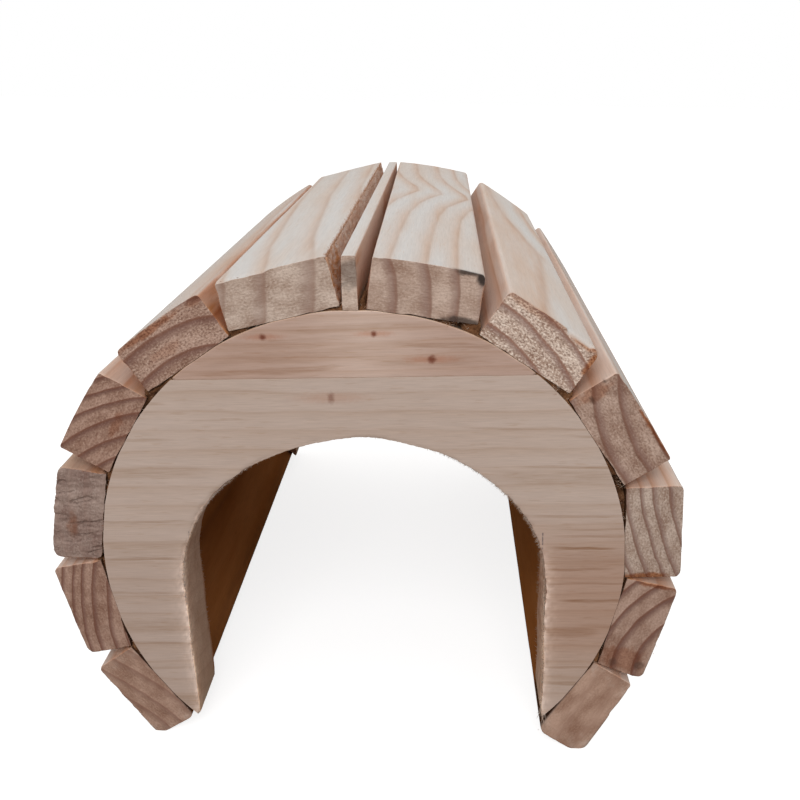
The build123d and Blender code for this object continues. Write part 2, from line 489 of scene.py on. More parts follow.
        # Springwood tears, summerwood stays smooth.
        loose = wood.add("Math", {0: wood.late, 1: -0.85, 2: 1.0}, operation="MULTIPLY_ADD")
        loose = wood.add("Math", {0: loose, 1: fleck}, operation="MULTIPLY")
        # Torn springwood gets painted shadows in its pits and painted highlights on its fibre ends.
        for low, high, tint, most in ((0.50, 0.36, self.end_painted_shadow, 0.75),
                                      (0.53, 0.68, self.end_painted_highlight, 0.95)):
            share = wood.add("MapRange", {"Value": torn, "From Min": low, "From Max": high,
                                          "To Max": most})
            colour = wood.lay(colour, tint, share, loose)
        relief = wood.add("Math", {0: torn, 1: loose}, operation="MULTIPLY")
        for layer, share in ((rows, 0.35), (hard, 0.5)):
            relief = wood.add("Math", {0: layer, 1: share, 2: relief}, operation="MULTIPLY_ADD")
        return colour, wood.add("Math", {0: relief, 1: self.end_height}, operation="MULTIPLY")

    def _streaked(self, wood: WoodNodes, colour: Node) -> Node:
        """Lay the brown resin bands and pitch lines of the front boards into the wood.

        Args:
            wood: the material's nodes.
            colour: the wood's colour without them.

        Returns:
            The colour with them.
        """
        sway = 1.6  # how far the bands sway from a straight line, at most
        waver = wood.noise((0.10, 0.10, 0.05), 2.0)
        frayed = wood.noise((2.2, 2.2, 0.16), 2.0)
        moved = wood.add("VectorMath", {0: waver.outputs["Color"], "Scale": sway},
                         operation="SCALE")
        place = wood.add("VectorMath", {0: wood.grain, 1: moved}, operation="ADD")
        darkest: Node | float = 0.0
        for band in self.streaks:
            middle = (band.start + band.stop) / 2
            local = wood.add("Mapping", {
                "Vector": place, "Rotation": (0, band.slope, 0),
                "Location": (band.height + sway / 2, sway / 2, middle + sway / 2),
                "Scale": (band.half * 1.3, 1e4, (band.stop - band.start) / 2 + 2)},
                vector_type="TEXTURE")
            # Squared once, the distance gives long bands with blunt ends.
            blunt = wood.add("VectorMath", {0: local, 1: local}, operation="MULTIPLY")
            away = wood.add("VectorMath", {0: blunt}, operation="LENGTH")
            share = wood.add("MapRange", {
                "Value": away.outputs["Value"], "From Min": 1.0, "From Max": 0.12,
                "To Max": band.most}, interpolation_type="SMOOTHSTEP")
            darkest = wood.add("Math", {0: darkest, 1: share}, operation="MAXIMUM")
        broken = wood.add("MapRange", {"Value": frayed, "From Min": 0.3, "From Max": 0.6,
                                       "To Min": 0.4, "To Max": 1.1})
        return wood.lay(colour, self.pitch, darkest, broken)

    def _knotted(self, wood: WoodNodes, colour: Node, knot: Knot) -> Node:
        """Darken a pin knot and the grain that streams past it.

        Args:
            wood: the material's nodes.
            colour: the wood's colour without the knot.
            knot: which knot.

        Returns:
            The colour with the knot in it.
        """
        offset = wood.add("VectorMath", {0: wood.grain, 1: (knot.across, 0.0, knot.along)},
                          operation="SUBTRACT")
        waver = wood.noise((1.3, 1.3, 1.3), 2.0)
        for stretch, tint, most in ((0.16, self.knot_grain, 0.5),
                                    (knot.stretch, self.knot_wood, 0.9)):
            scaled = wood.add("VectorMath", {0: offset, 1: (1.0, 0.0, stretch)},
                              operation="MULTIPLY")
            away = wood.add("VectorMath", {0: scaled}, operation="LENGTH").outputs["Value"]
            reach = wood.add("Math", {0: waver, 1: knot.radius, 2: away},
                             operation="MULTIPLY_ADD")
            share = wood.add("MapRange", {
                "Value": reach, "From Min": knot.radius * 0.7, "From Max": knot.radius * 1.9,
                "To Min": most * knot.depth, "To Max": 0.0}, interpolation_type="SMOOTHSTEP")
            colour = wood.add("Mix", {"Factor": share, 6: colour, 7: linear(tint)},
                              data_type="RGBA")
        return colour

    def _marked(self, wood: WoodNodes, colour: Node) -> Node:
        """Add heartwood, browning and painted shade, staining and painted shade, pencil ticks and
        the piece's own tone.

        Args:
            wood: the material's nodes.
            colour: the clean wood's colour.

        Returns:
            The finished colour.
        """
        for name, tint, blend, most in (("heart", self.heart, "MULTIPLY", self.heart_share),
                                        ("age", self.browned_and_shaded, "MULTIPLY", 1.0),
                                        ("stain_and_shade", self.stain_and_shade, "MIX", 1.0)):
            colour = wood.lay(colour, tint, wood.marks[name], most, blend)
        for tick in self.ticks:
            split = wood.add("SeparateXYZ", {0: wood.grain}).outputs
            middle, half, line = (tick.low + tick.high) / 2, (tick.high - tick.low) / 2, 0.16
            off = wood.add("Math", {0: split["Z"], 1: tick.along, 2: line}, operation="COMPARE")
            span = wood.add("Math", {0: split["X"], 1: middle, 2: half}, operation="COMPARE")
            broken = wood.add("MapRange", {
                "Value": wood.noise((1.4, 1.4, 1.4), 1.0), "From Min": 0.4, "From Max": 0.55,
                "To Max": 0.6})
            both = wood.add("Math", {0: off, 1: span}, operation="MULTIPLY")
            colour = wood.lay(colour, self.graphite, both, broken)
        return wood.add("VectorMath", {0: colour, "Scale": wood.marks["tone"]}, operation="SCALE")


# Height, half width, strength, start and stop, and for some the slope.
STREAKS = tuple(Streak(*row) for row in (
    (23.3, 1.5, 0.42, -62, -33), (11.0, 0.35, 0.42, -62, -38), (5.6, 0.30, 0.30, -62, -38),
    (3.4, 1.9, 0.34, -62, -34), (1.2, 0.40, 0.55, -62, -40), (-7.7, 0.35, 0.36, -62, -43),
    (-17.0, 2.1, 0.40, -62, -40), (-21.8, 0.35, 0.52, -62, -43), (-28.7, 0.40, 0.36, -62, -42),
    (-38.2, 1.6, 0.62, -62, -36), (31.2, 0.4, 0.40, -55, -41), (39.7, 0.35, 0.40, -53, -42),
    (35.8, 0.25, 0.28, -36, -24), (23.9, 0.35, 0.42, 34, 62), (21.4, 1.7, 0.46, 27, 62),
    (11.8, 0.35, 0.42, 36, 62), (8.6, 0.3, 0.36, 46, 62), (6.9, 0.35, 0.40, 44, 62),
    (3.8, 0.4, 0.72, 44, 57), (0.8, 2.3, 0.34, 42, 62), (-1.7, 0.35, 0.55, 41, 57),
    (-5.5, 0.3, 0.42, 41, 62), (-10.0, 0.4, 0.66, 46, 62), (-18.4, 1.3, 0.62, 42, 54),
    (-16.8, 0.6, 0.3, 50, 62), (-28.3, 0.35, 0.45, 41, 62), (-32.6, 0.6, 0.5, 41, 62),
    (-30.5, 1.5, 0.25, 41, 62), (33.0, 0.3, 0.34, 22, 58, -0.03), (30.9, 0.3, 0.4, 47, 60),
    (47.2, 0.7, 0.45, -20, -4, 0.05), (46.5, 0.5, 0.40, -34, -12),
    (50.2, 1.4, 0.40, -34, 12, 0.05), (53.0, 1.2, 0.35, -30, 2, 0.06),
    (48.4, 1.1, 0.45, 2, 30, 0.02), (56.3, 0.9, 0.35, -16, 20), (51.8, 0.5, 0.45, 8, 34, -0.03),
))


# Planer-finished long faces: pale and even, with broad soft ring bands.
PLANED = PineFinish("plantation pine, planed", Cut.ALONG)
# The side glued to the rim keeps its saw marks and is dull; its warm brown is painted shade for the
# inside of the house.
INSIDE_PAINTED_SHADE = PineFinish("plantation pine, rough inner side in painted shade", Cut.ALONG, early="#c5834d",
                    early_warm="#b6733d", late="#8b5226", gloss=0.0, roughness=0.95,
                    fibre_height=0.05)
# Cut to length on a coarse chop saw: matt, furry end grain with painted highlights and shadows
# where fibres tore.
SAWN_END = PineFinish("plantation pine, sawn end grain", Cut.ACROSS, heart_share=0.5,
                      roughness=0.85)
# Left out in the weather before use: lignin washed out, so grey, woolly and lifeless.
WEATHERED = PineFinish("weathered pine, planed", Cut.ALONG, early="#c0b3a8", early_warm="#b8a695",
                       late="#96837a", roughness=0.85, fibre_height=0.05)
WEATHERED_END = PineFinish("weathered pine, woolly end grain", Cut.ACROSS, end_light="#b29d93",
                           end_dark="#8a7067", end_late="#86695e", end_painted_highlight="#cbbcb3",
                           end_painted_shadow="#57463e", stain_and_shade="#4f3f38", roughness=0.9, end_height=0.5)
# Wide-belt sanded panel: flat and matt, with pin knots, resin bands and pitch lines.
SANDED = PineFinish("edge-glued pine panel, sanded", Cut.ALONG, early="#ccbaaf",
                    early_warm="#c9b6aa", late="#a98663", late_strength=0.3, heart_share=0.4,
                    roughness=0.72, fibre_height=0.012, streaks=STREAKS,
                    knots=(Knot(-18.6, 54.5, 0.75), Knot(5.0, 54.8, 0.7), Knot(17.1, 49.0, 0.95),
                           Knot(-4.8, 40.6, 1.35, stretch=1.7, depth=0.6)),
                    ticks=(Tick(-39.4, 1.0, 8.4), Tick(41.3, 0.0, 7.7)))
# Entrance cut freehand on a bandsaw: furry on the legs, where the blade crossed the grain. Its
# colours are paler than the panel's, partly as painted light on entrance faces that lie in shade.
BANDSAWN = PineFinish("edge-glued pine panel, bandsawn", Cut.EITHER, early="#e3cab4",
                      early_warm="#dbbb9f", late="#b98c6b", late_strength=0.35,
                      end_light="#e0cab8", end_dark="#c2a48f", end_late="#b08f7c", gloss=0.05,
                      roughness=0.88, fibre_height=0.05)
# White wood glue gone brown with sawdust, scraped off while soft: dark, lumpy and matt.
GLUED = PineFinish("dried glue and sawdust", Cut.ACROSS, end_light="#80593c", end_dark="#472c1c",
                   end_late="#472c1c", end_painted_highlight="#a98767", end_painted_shadow="#2a1a12", gloss=0.1,
                   roughness=0.8)
# Slivers that the saws lifted and left hanging: thin, so paler than the wood behind.
TORN = PineFinish("pine fibre, torn", Cut.ALONG, early="#ebe2da", early_warm="#dccab8",
                  roughness=0.8)


# ---- meshes -----------------------------------------------------------------------------
class Draw(IntEnum):
    """Added to a piece's number, so that each kind of fibre has random draws of its own."""

    LATH_BENDS = 40
    BOARD_BENDS = 60
    GLUE_BENDS = 80
    FRINGE_BENDS = 140
    BOARD_FRAY = 500
    GLUE_FUZZ = 700
    SPLINTERS = 900
    FRINGE = 1500


@dataclass(frozen=True)
class Section:
    """A four-sided cross-section with a radius at each corner, walked round once.

    Corner 0 is at the origin, corner 1 along the width and corner 3 up the height. Each
    side takes in half of the rounding at both of its ends.
    """

    radii: tuple[float, float, float, float]
    across: int
    through: int
    arc: int = 3

    def loop(self, width: Array, height: float) -> tuple[Array, Array]:
        """Points round the section for each width asked for.

        Args:
            width: (s,) widths, one for each station along the piece.
            height: the same for all.

        Returns:
            (s, n, 2) points and (n, 2) outward directions.
        """
        steps = [45 * step / self.arc for step in range(self.arc)]
        rows = []
        for side in range(4):
            facing = 270 + 90 * side
            straight = (self.across, self.through)[side % 2] - 2 * self.arc
            rows.extend(self._rounded(side, facing - 45 + turn) for turn in steps)
            start, end = self._rounded(side, facing), self._rounded(side + 1, facing)
            rows.extend(start + (end - start) * step / straight for step in range(straight))
            rows.extend(self._rounded(side + 1, facing + turn) for turn in steps)
        table = np.array(rows)
        wide = np.outer(width, table[:, 0]) + table[:, 1]
        high = np.broadcast_to(height * table[:, 2] + table[:, 3], wide.shape)
        return np.stack([wide, high], axis=2), table[:, 4:6]

    def _rounded(self, corner: int, degrees: float) -> Array:
        """One point on a corner's rounding.

        Args:
            corner: which one, counted round the section.
            degrees: direction from the rounding's centre.

        Returns:
            Share of the width and offset, share of the height and offset, and direction.
        """
        x, y = ((0, 0), (1, 0), (1, 1), (0, 1))[corner % 4]
        radius = self.radii[corner % 4]
        out_x, out_y = math.cos(math.radians(degrees)), math.sin(math.radians(degrees))
        return np.array([x, radius * (1 - 2 * x) + radius * out_x,
                         y, radius * (1 - 2 * y) + radius * out_y, out_x, out_y])

    def side_of(self) -> Array:
        """Which side each step round the section belongs to."""
        return np.repeat([0, 1, 2, 3], [self.across, self.through] * 2)


class Skin:
    """Points, faces and marks of one piece while it is being made."""

    def __init__(self) -> None:
        """Start with nothing."""
        self.local = np.zeros((0, 3))
        self.world = np.zeros((0, 3))
        self.faces: list[Array] = []
        self.slots: list[Array] = []
        self.marks: dict[str, Array] = {}

    def sweep(self, rings: Array, section: Section, side_slots: tuple[int, ...],
              end_slots: tuple[int, int]) -> Array:
        """Skin a row of sections and close both ends with a fine grid.

        Args:
            rings: (s, n, 3) section points in the piece's own frame.
            section: how the points are shared among the sides.
            side_slots: material slot of each side.
            end_slots: material slot of the first and the last end.

        Returns:
            For each point, -1 on the first end, 1 on the last end and 0 elsewhere.
        """
        stations, around = rings.shape[:2]
        number = np.arange(stations * around).reshape(stations, around)
        turned = np.roll(number, -1, axis=1)
        quads = np.stack([number[:-1], turned[:-1], turned[1:], number[1:]], axis=2)
        self.faces.append(quads.reshape(-1, 4))
        sides = np.array(side_slots)[section.side_of()]
        self.slots.append(np.tile(sides, stations - 1))
        count = stations * around
        points, ends = [rings.reshape(-1, 3)], [np.zeros(count)]
        for which, slot in ((0, end_slots[0]), (-1, end_slots[1])):
            grid, labels = self._end_grid(rings[which], number[which], section, count)
            points.append(grid[1:-1, 1:-1].reshape(-1, 3))
            count += len(points[-1])
            ends.append(np.full(len(points[-1]), -1.0 if which == 0 else 1.0))
            caps = np.stack([labels[:-1, :-1], labels[1:, :-1], labels[1:, 1:], labels[:-1, 1:]],
                            axis=2).reshape(-1, 4)
            self.faces.append(caps[:, ::-1] if which == 0 else caps)
            self.slots.append(np.full(len(caps), slot))
        self.local = np.concatenate(points)
        return np.concatenate(ends)

    @staticmethod
    def _end_grid(loop: Array, labels: Array, section: Section,
                  first_free: int) -> tuple[Array, Array]:
        """Fill a section's outline with a grid that meets its points.

        Args:
            loop: (n, 3) outline.
            labels: (n,) point numbers of the outline.
            section: how the outline is shared among the sides.
            first_free: number of the first new point.

        Returns:
            (across + 1, through + 1, 3) places and the point number at each.
        """
        across, through = section.across, section.through
        turn = np.concatenate([np.arange(len(loop)), [0]])
        low = turn[:across + 1]
        right = turn[across:across + through + 1]
        high = turn[across + through:2 * across + through + 1][::-1]
        left = turn[2 * across + through:][::-1]
        a = np.linspace(0, 1, across + 1)[:, None, None]
        b = np.linspace(0, 1, through + 1)[None, :, None]
        grid = ((1 - b) * loop[low][:, None] + b * loop[high][:, None]
                + (1 - a) * loop[left][None] + a * loop[right][None]
                - (1 - a) * (1 - b) * loop[low[0]] - a * (1 - b) * loop[low[-1]]
                - (1 - a) * b * loop[high[0]] - a * b * loop[high[-1]])
        names = np.empty((across + 1, through + 1), dtype=int)
        inner = (across - 1) * (through - 1)
        names[1:-1, 1:-1] = first_free + np.arange(inner).reshape(across - 1, through - 1)
        names[:, 0], names[:, -1] = labels[low], labels[high]
        names[0, :], names[-1, :] = labels[left], labels[right]
        return grid, names

    def outward(self) -> None:
        """Turn every face outward, by the sign of the enclosed volume."""
        faces = np.concatenate(self.faces)
        a, b, c, d = (self.world[faces[:, i]] for i in range(4))
        volume = (np.einsum("ij,ij->i", a, np.cross(b, c)) + np.einsum(
            "ij,ij->i", a, np.cross(c, d))).sum()
        if volume < 0:
            self.faces = [part[:, ::-1] for part in self.faces]

    def add_fibres(self, roots: Array, ways: Array, lengths: Array,
                   widths: Array, seed: int) -> slice:
        """Add torn fibres, each a bent three-sided sliver with its root in the wood.

        Args:
            roots: (n, 3) places in millimetres in the house's frame.
            ways: (n, 3) directions in which they stand out.
            lengths: (n,) lengths.
            widths: (n,) widths at the root.
            seed: for their bends.

        Returns:
            Where the new points lie in the marks.
        """
        rng = np.random.default_rng(seed)
        count, steps = len(roots), 2
        bend_spread, rooted, taper, flatness = 0.28, 0.12, 0.92, 0.6  # shares of length or width
        ways = ways / np.linalg.norm(ways, axis=1, keepdims=True)
        side = np.cross(ways, rng.normal(size=(count, 3)))
        side /= np.linalg.norm(side, axis=1, keepdims=True)
        up = np.cross(ways, side)
        bend = rng.normal(0, bend_spread, (count, 1))
        points = []
        for step in range(steps + 1):
            part = step / steps
            spine = roots + ways * (lengths[:, None] * (part - rooted)) + up * (
                bend * lengths[:, None] * part ** 2)
            size = widths[:, None] * (1 - taper * part) / 2
            for turn in (2 * math.pi * corner / 3 for corner in range(3)):
                points.append(spine + size * (
                    side * math.cos(turn) + up * flatness * math.sin(turn)))
        made = np.stack(points, axis=1)
        start = len(self.world)
        number = start + np.arange(count * 3 * (steps + 1)).reshape(count, steps + 1, 3)
        turned = np.roll(number, -1, axis=2)
        quads = np.stack([number[:, :-1], turned[:, :-1], turned[:, 1:], number[:, 1:]], axis=3)
        quads = quads.reshape(-1, 4)
        self.faces.append(quads[:, ::-1])
        tips = np.concatenate([number[:, 0, :], number[:, -1, ::-1]])
        self.faces.append(tips[:, [0, 1, 2, 2]])
        self.slots.append(np.full(len(quads) + len(tips), int(Slot.FIBRE)))
        flat = made.reshape(-1, 3)
        self.world = np.concatenate([self.world, flat])
        for name, values in self.marks.items():
            if name == "grain":
                extra = flat * 1.7
            elif name == "tone":
                extra = np.full(len(flat), float(np.median(values)))
            elif name == "age":
                extra = np.repeat(rng.choice([0.0, 0.4, 0.9], count), made.shape[1])
            else:
                extra = np.zeros(len(flat))
            self.marks[name] = np.concatenate([values, extra])
        return slice(start, start + len(flat))

    def to_object(self, name: str, slots: tuple[PineFinish, ...]) -> bpy.types.Object:
        """Write the mesh, its marks and its materials.

        Args:
            name: the new object's name.
            slots: a finish for each material slot.

        Returns:
            The object, linked to the scene.
        """
        mesh = bpy.data.meshes.new(name)
        faces = np.concatenate(self.faces)
        rows = [row[:3] if row[2] == row[3] else row for row in faces.tolist()]
        mesh.from_pydata((self.world * MM).tolist(), [], rows)
        mesh.polygons.foreach_set("material_index", np.concatenate(self.slots).astype(np.int32))
        mesh.polygons.foreach_set("use_smooth", np.ones(len(rows), dtype=bool))
        for mark, values in self.marks.items():
            kind, field = ("FLOAT_VECTOR", "vector") if values.ndim == 2 else ("FLOAT", "value")
            layer = mesh.attributes.new(mark, kind, "POINT")
            layer.data.foreach_set(field, values.astype(np.float32).ravel())
        mesh.validate()
        for finish in slots:
            mesh.materials.append(finish.material())
        made = bpy.data.objects.new(name, mesh)
        bpy.context.scene.collection.objects.link(made)
        return made


def ring_profile(number: Array) -> Array:
    """How much summerwood there is at a running ring number.

    Args:
        number: whole at each ring's sharp outer edge.

    Returns:
        Between 0 and 1.
    """
    return np.interp(number % 1, [0, 0.04, 0.3, 0.66, 0.84, 0.95, 1],
                     [0.85, 0.15, 0, 0.06, 0.45, 1, 0.9])


# ---- laths ------------------------------------------------------------------------------
@dataclass(frozen=True)
class Stain:
    """A patch on a lath's front end, placed from its middle and up from its glued side."""

    across: float
    up: float
    wide: float
    tall: float
    strength: float


@dataclass(frozen=True)
class Chip:
    """A splinter lost from the outer arris at the front end."""

    across: float
    half: float
    drop: float
    reach: float


@dataclass(frozen=True)
class Lath:
    """One lath of the ring: its size, its seat on the rim and the tree it was cut from.

    Its first edge is the one that comes first clockwise round the ring.

    Attributes:
        node: the CAD node that it stands for.
        angle: degrees round the ring of the line on which it sits on the rim.
        slide: how far its middle lies from that line.
        wear: radii of the arrises, walked round from the first one of the glued side.
        pith: the middle of the tree, across and up from the middle of the glued side.
        ring_radii: of the growth rings that show on its ends.
        slant: how much higher the outer side is at the last edge.
        crown: how far the outer side bows.
        wander: (place, offset) of the pith lengthwise.
        first_flare: how far the first edge leans out; last_flare is the same for the last.
        rear_flare: how much further it leans out towards the rear.
        bulge: how far the first edge stands out between the arches, at the glued side.
        tone: brightness of the ends, and by half of the long faces.
        heart: share of reddish heartwood.
        arcs: how clearly the rings show.
        fleck: how speckled the ends are with painted highlights and shadows.
        tear: how deep the saw tore the ends.
        amber: how much browner the edges are where they lie on the arches.
        side_age_and_shade: how brown the edges are elsewhere, from browning and painted shade, and
            side_painted_light how much painted light brightens them.
        rough_side: whether the last edge was never planed.
        weathered: whether it was left out in the weather.
        stains: dark patches on the front end; resin are the amber ones.
        cell: size of the mesh on the ends.
    """

    node: str
    angle: float
    width: float
    thickness: float
    slide: float
    wear: tuple[float, float, float, float]
    pith: tuple[float, float]
    ring_radii: tuple[float, ...]
    slant: float = 0.0
    crown: float = 0.1
    wander: tuple[tuple[float, float], ...] = ((0, 0), (60, 0.8), (120, -0.6), (176, 0.5))
    first_flare: float = 0.0
    last_flare: float = 0.0
    rear_flare: float = 0.0
    bulge: float = 0.0
    tone: float = 1.0
    heart: float = 0.1
    arcs: float = 0.6
    fleck: float = 0.7
    tear: float = 0.16
    amber: float = 0.0
    side_age_and_shade: float = 1.0
    side_painted_light: float = 1.4
    rough_side: bool = False
    weathered: bool = False
    stains: tuple[Stain, ...] = ()
    resin: tuple[Stain, ...] = ()
    chips: tuple[Chip, ...] = ()
    cell: float = 0.34

    def build(self, seed: int) -> bpy.types.Object:
        """Make the lath's mesh, dress it and let it stand for its node.

        Args:
            seed: gives this lath its own roughness.

        Returns:
            The finished object.
        """
        section = Section(self.wear, max(10, round(self.width / self.cell)),
                          max(10, round(self.thickness / self.cell)))
        stations = self._stations()
        loops, facing = section.loop(np.full(len(stations), self.width), self.thickness)
        rings = np.empty(loops.shape[:2] + (3,))
        rings[:, :, 0] = loops[:, :, 0] - self.width / 2
        rings[:, :, 1] = loops[:, :, 1]
        rings[:, :, 2] = stations[:, None]
        self._flare(rings)
        self._roughen(rings, facing, section, seed)
        skin = Skin()
        ends = skin.sweep(rings, section, (Slot.INSIDE_PAINTED_SHADE,) + (Slot.FACE,) * 3,
                          (Slot.SAWN, Slot.SAWN))
        self._tear_ends(skin, ends, len(stations) * facing.shape[0], seed)
        number = self.ring_number(skin.local, seed)
        skin.world = self._placed(skin.local)
        skin.world[:, 2] = np.maximum(skin.world[:, 2], 0)
        skin.outward()
        self._mark(skin, number, facing, ends, seed)
        self._splinter(skin, seed)
        faces = (WEATHERED, WEATHERED_END) if self.weathered else (PLANED, SAWN_END)
        made = skin.to_object(self.node + "_timber", faces + (TORN, INSIDE_PAINTED_SHADE))
        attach(made, "root")
        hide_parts(self.node)
        return made

    def _placed(self, local: Array) -> Array:
        """Move points (along its width, outward, lengthwise) to where the lath sits."""
        return HOUSE.lath_to_world(local + (self.slide, 0, 0), self.angle)

    def _stations(self) -> Array:
        """Places along the length: close at both ends, 2 mm apart between."""
        start = np.array([0, 0.14, 0.34, 0.6, 0.95, 1.4, 2.0, 2.8, 3.8, 5.0, 6.5, 8.2, 10.0])
        middle = np.arange(12.0, HOUSE.length - 11, 2.0)
        return np.concatenate([start, middle, HOUSE.length - start[::-1]])

    def _flare(self, rings: Array) -> None:
        """Bow the outer side and widen it where the lath was cut out of square.

        Args:
            rings: (s, n, 3) points, changed in place.
        """
        rise = rings[:, :, 1] / self.thickness
        share = rings[:, :, 0] / self.width + 0.5
        rearward = rings[:, :, 2] / HOUSE.length
        rings[:, :, 1] += rise * (self.slant * share + 4 * self.crown * share * (1 - share))
        rings[:, :, 0] += self.last_flare * rise * share
        rings[:, :, 0] -= (self.first_flare + self.rear_flare * rearward) * rise * (1 - share)
        from_end = np.minimum(rings[:, :, 2], HOUSE.length - rings[:, :, 2])
        rings[:, :, 0] -= self.bulge * smooth_step(4, 10, from_end) * (1 - share) * (1 - rise)

    def ring_number(self, local: Array, seed: int) -> Array:
        """The running ring number at each point of the lath.

        Args:
            local: (n, 3) points from the lath's middle.
            seed: for the rings' small waves.

        Returns:
            (n,) numbers, whole at a ring's sharp outer edge.
        """
        places, offsets = zip(*self.wander)
        swing = np.interp(local[:, 2], places, offsets)
        radius = np.hypot(local[:, 0] - swing - self.pith[0], local[:, 1] - self.pith[1])
        radius += 0.28 * lattice_noise(local * (0.13, 0.13, 0.02), seed)
        radius += 0.10 * lattice_noise(local * (0.5, 0.5, 0.05), seed + 1)
        radii = np.array(self.ring_radii)
        # Twelve rings of the usual width go on inward and outward from those that show.
        pitch, more = float(np.diff(radii).mean()), np.arange(1, 13)
        table = np.concatenate([radii[0] - pitch * more[::-1], radii, radii[-1] + pitch * more])
        return np.interp(radius, table, np.arange(len(table)))

    def _end_recess(self, local: Array, seed: int) -> Array:
        """How far the saw tore each place of an end below its highest point.

        Args:
            local: (n, 3) points; only their place on the end counts.
            seed: for the pattern.

        Returns:
            (n,) depths.
        """
        late = ring_profile(self.ring_number(local, seed))
        soft = 0.6 + 0.4 * lattice_noise(local * (0.6, 0.6, 1), seed + 2)
        fine = np.abs(layered_noise(local * (1.5, 1.8, 1), seed + 3))
        depth = self.tear * ((1 - late) * soft + 0.8 * fine)
        if self.weathered:
            # Torn in tufts that lie over towards the rim, with narrow splits between them.
            laid = np.stack([local[:, 0] * 0.62 + local[:, 1] * 0.16,
                             local[:, 1] * 0.2, local[:, 2]], axis=1)
            tufts = layered_noise(laid, seed + 4)
            split = smooth_step(0.13, 0.02, np.abs(tufts))
            split *= smooth_step(-0.2, 0.25, lattice_noise(local * (0.25, 0.25, 1), seed + 8))
            wool = np.abs(layered_noise(local * (1.3, 0.7, 1), seed + 15))
            depth += 0.4 * smooth_step(-0.4, 0.5, tufts) + 0.5 * split + 0.35 * wool
        return depth

    def _roughen(self, rings: Array, facing: Array, section: Section,
                 seed: int) -> None:
        """Wave the long faces, nick and chip the arrises and tear the rim of both ends.

        Args:
            rings: (s, n, 3) points, changed in place.
            facing: (n, 2) outward directions round the section.
            section: tells the sides apart.
            seed: for the pattern.
        """
        flat = rings.reshape(-1, 3)
        out = np.tile(facing, (len(rings), 1))
        front, rear = flat[:, 2], HOUSE.length - flat[:, 2]
        # The planer left waves of a few hundredths, about 30 mm long.
        inward = 0.04 * (0.5 + layered_noise(flat * (0.12, 0.12, 0.03), seed + 5))
        # Handling nicked the arrises, where the outward direction is between two sides.
        rounded = 1 - np.max(np.abs(out), axis=1)
        nick = np.maximum(0, lattice_noise(flat * (0.2, 0.2, 0.16), seed + 6) - 0.1)
        inward += nick * np.minimum(rounded * 3, 1) * 0.2
        if self.weathered:
            inward += 0.22 * (0.3 + layered_noise(flat * (0.5, 0.5, 0.05), seed + 7))
        if self.rough_side:
            side = np.tile(section.side_of(), len(rings))
            torn = np.abs(layered_noise(flat * (0.9, 0.5, 0.22), seed + 8))
            inward += np.where(side == 1, 0.7 * torn * smooth_step(0.5, 4, flat[:, 1]), 0)
        # The chop saw broke small chips out of the corners as it came through.
        for off in (front, rear):
            chip = np.maximum(0, layered_noise(flat * (0.4, 0.4, 0) + off[0], seed + 9, 2) - 0.15)
            chip = 0.03 + chip * 0.4
            inward += chip * np.maximum(0, 1 - off / (0.25 + 1.3 * chip))
        flat[:, 0] -= out[:, 0] * inward
        flat[:, 1] -= out[:, 1] * inward
        for lost in self.chips:
            near = smooth_step(1.15, 0.8, np.abs(flat[:, 0] - lost.across) / lost.half)
            near *= smooth_step(self.thickness - 2.5, self.thickness - 0.5, flat[:, 1])
            flat[:, 1] -= lost.drop * near * smooth_step(lost.reach, 0.0, front)
        recess, fades = self._end_recess(flat * (1, 1, 0), seed), 0.5
        flat[:, 2] += recess * np.exp(-front / fades) - recess * np.exp(-rear / fades)
        rings[:] = flat.reshape(rings.shape)

    def _tear_ends(self, skin: Skin, ends: Array, on_sides: int, seed: int) -> None:
        """Press the torn relief into the grids that close both ends.

        Args:
            skin: the piece, changed in place.
            ends: -1 on the first end, 1 on the last.
            on_sides: how many points belong to the sides.
            seed: for the pattern.
        """
        local = skin.local
        inner = np.arange(len(local)) >= on_sides
        recess = self._end_recess(local * (1, 1, 0), seed)
        front, rear = inner & (ends < 0), inner & (ends > 0)
        local[front, 2] = recess[front]
        local[rear, 2] = HOUSE.length - recess[rear]

    def _mark(self, skin: Skin, number: Array, facing: Array, ends: Array, seed: int) -> None:
        """Write what the finishes read: grain, rings, browning and painted shade, staining and
        painted shade, and tone.

        Args:
            skin: the piece, changed in place.
            number: the running ring number.
            facing: (n, 2) outward directions round the section.
            ends: -1 on the first end, 1 on the last.
            seed: gives this lath its own noise.
        """
        local = skin.local
        count = len(local)
        on_end = ends != 0
        out = np.zeros((count, 2))
        sides = count - int(np.sum(on_end))
        out[:sides] = np.tile(facing, (sides // len(facing), 1))
        rise = np.clip(local[:, 1] / self.thickness, 0, 1)
        side_face = smooth_step(0.6, 0.95, np.abs(out[:, 0]))
        inner_face = smooth_step(0.3, 0.9, -out[:, 1])
        cloud = 0.5 + 0.5 * layered_noise(local * (0.3, 0.3, 0.04), seed + 11)
        # The edges have browned in clouds; painted shade makes them browner still low in the gaps.
        age = self.side_age_and_shade * side_face * (
            0.42 + 0.35 * (1 - rise) ** 2 + 0.4 * smooth_step(0.45, 0.9, cloud))
        if self.rough_side:
            hairy = smooth_step(-0.25, 0.2, layered_noise(local * (1.1, 1.1, 0.6), seed + 14))
            rough = smooth_step(0.08, 0.5, out[:, 0])
            age = age * (1 - 0.6 * rough) + 0.4 * hairy * rough
        recess = self._end_recess(local, seed) * on_end
        stain_and_shade = self._patches(local, self.stains, seed + 12)
        if self.weathered:
            # The deepest splits are darkened as painted shade.
            stain_and_shade = np.maximum(stain_and_shade, 0.55 * smooth_step(0.6, 1.15, recess))
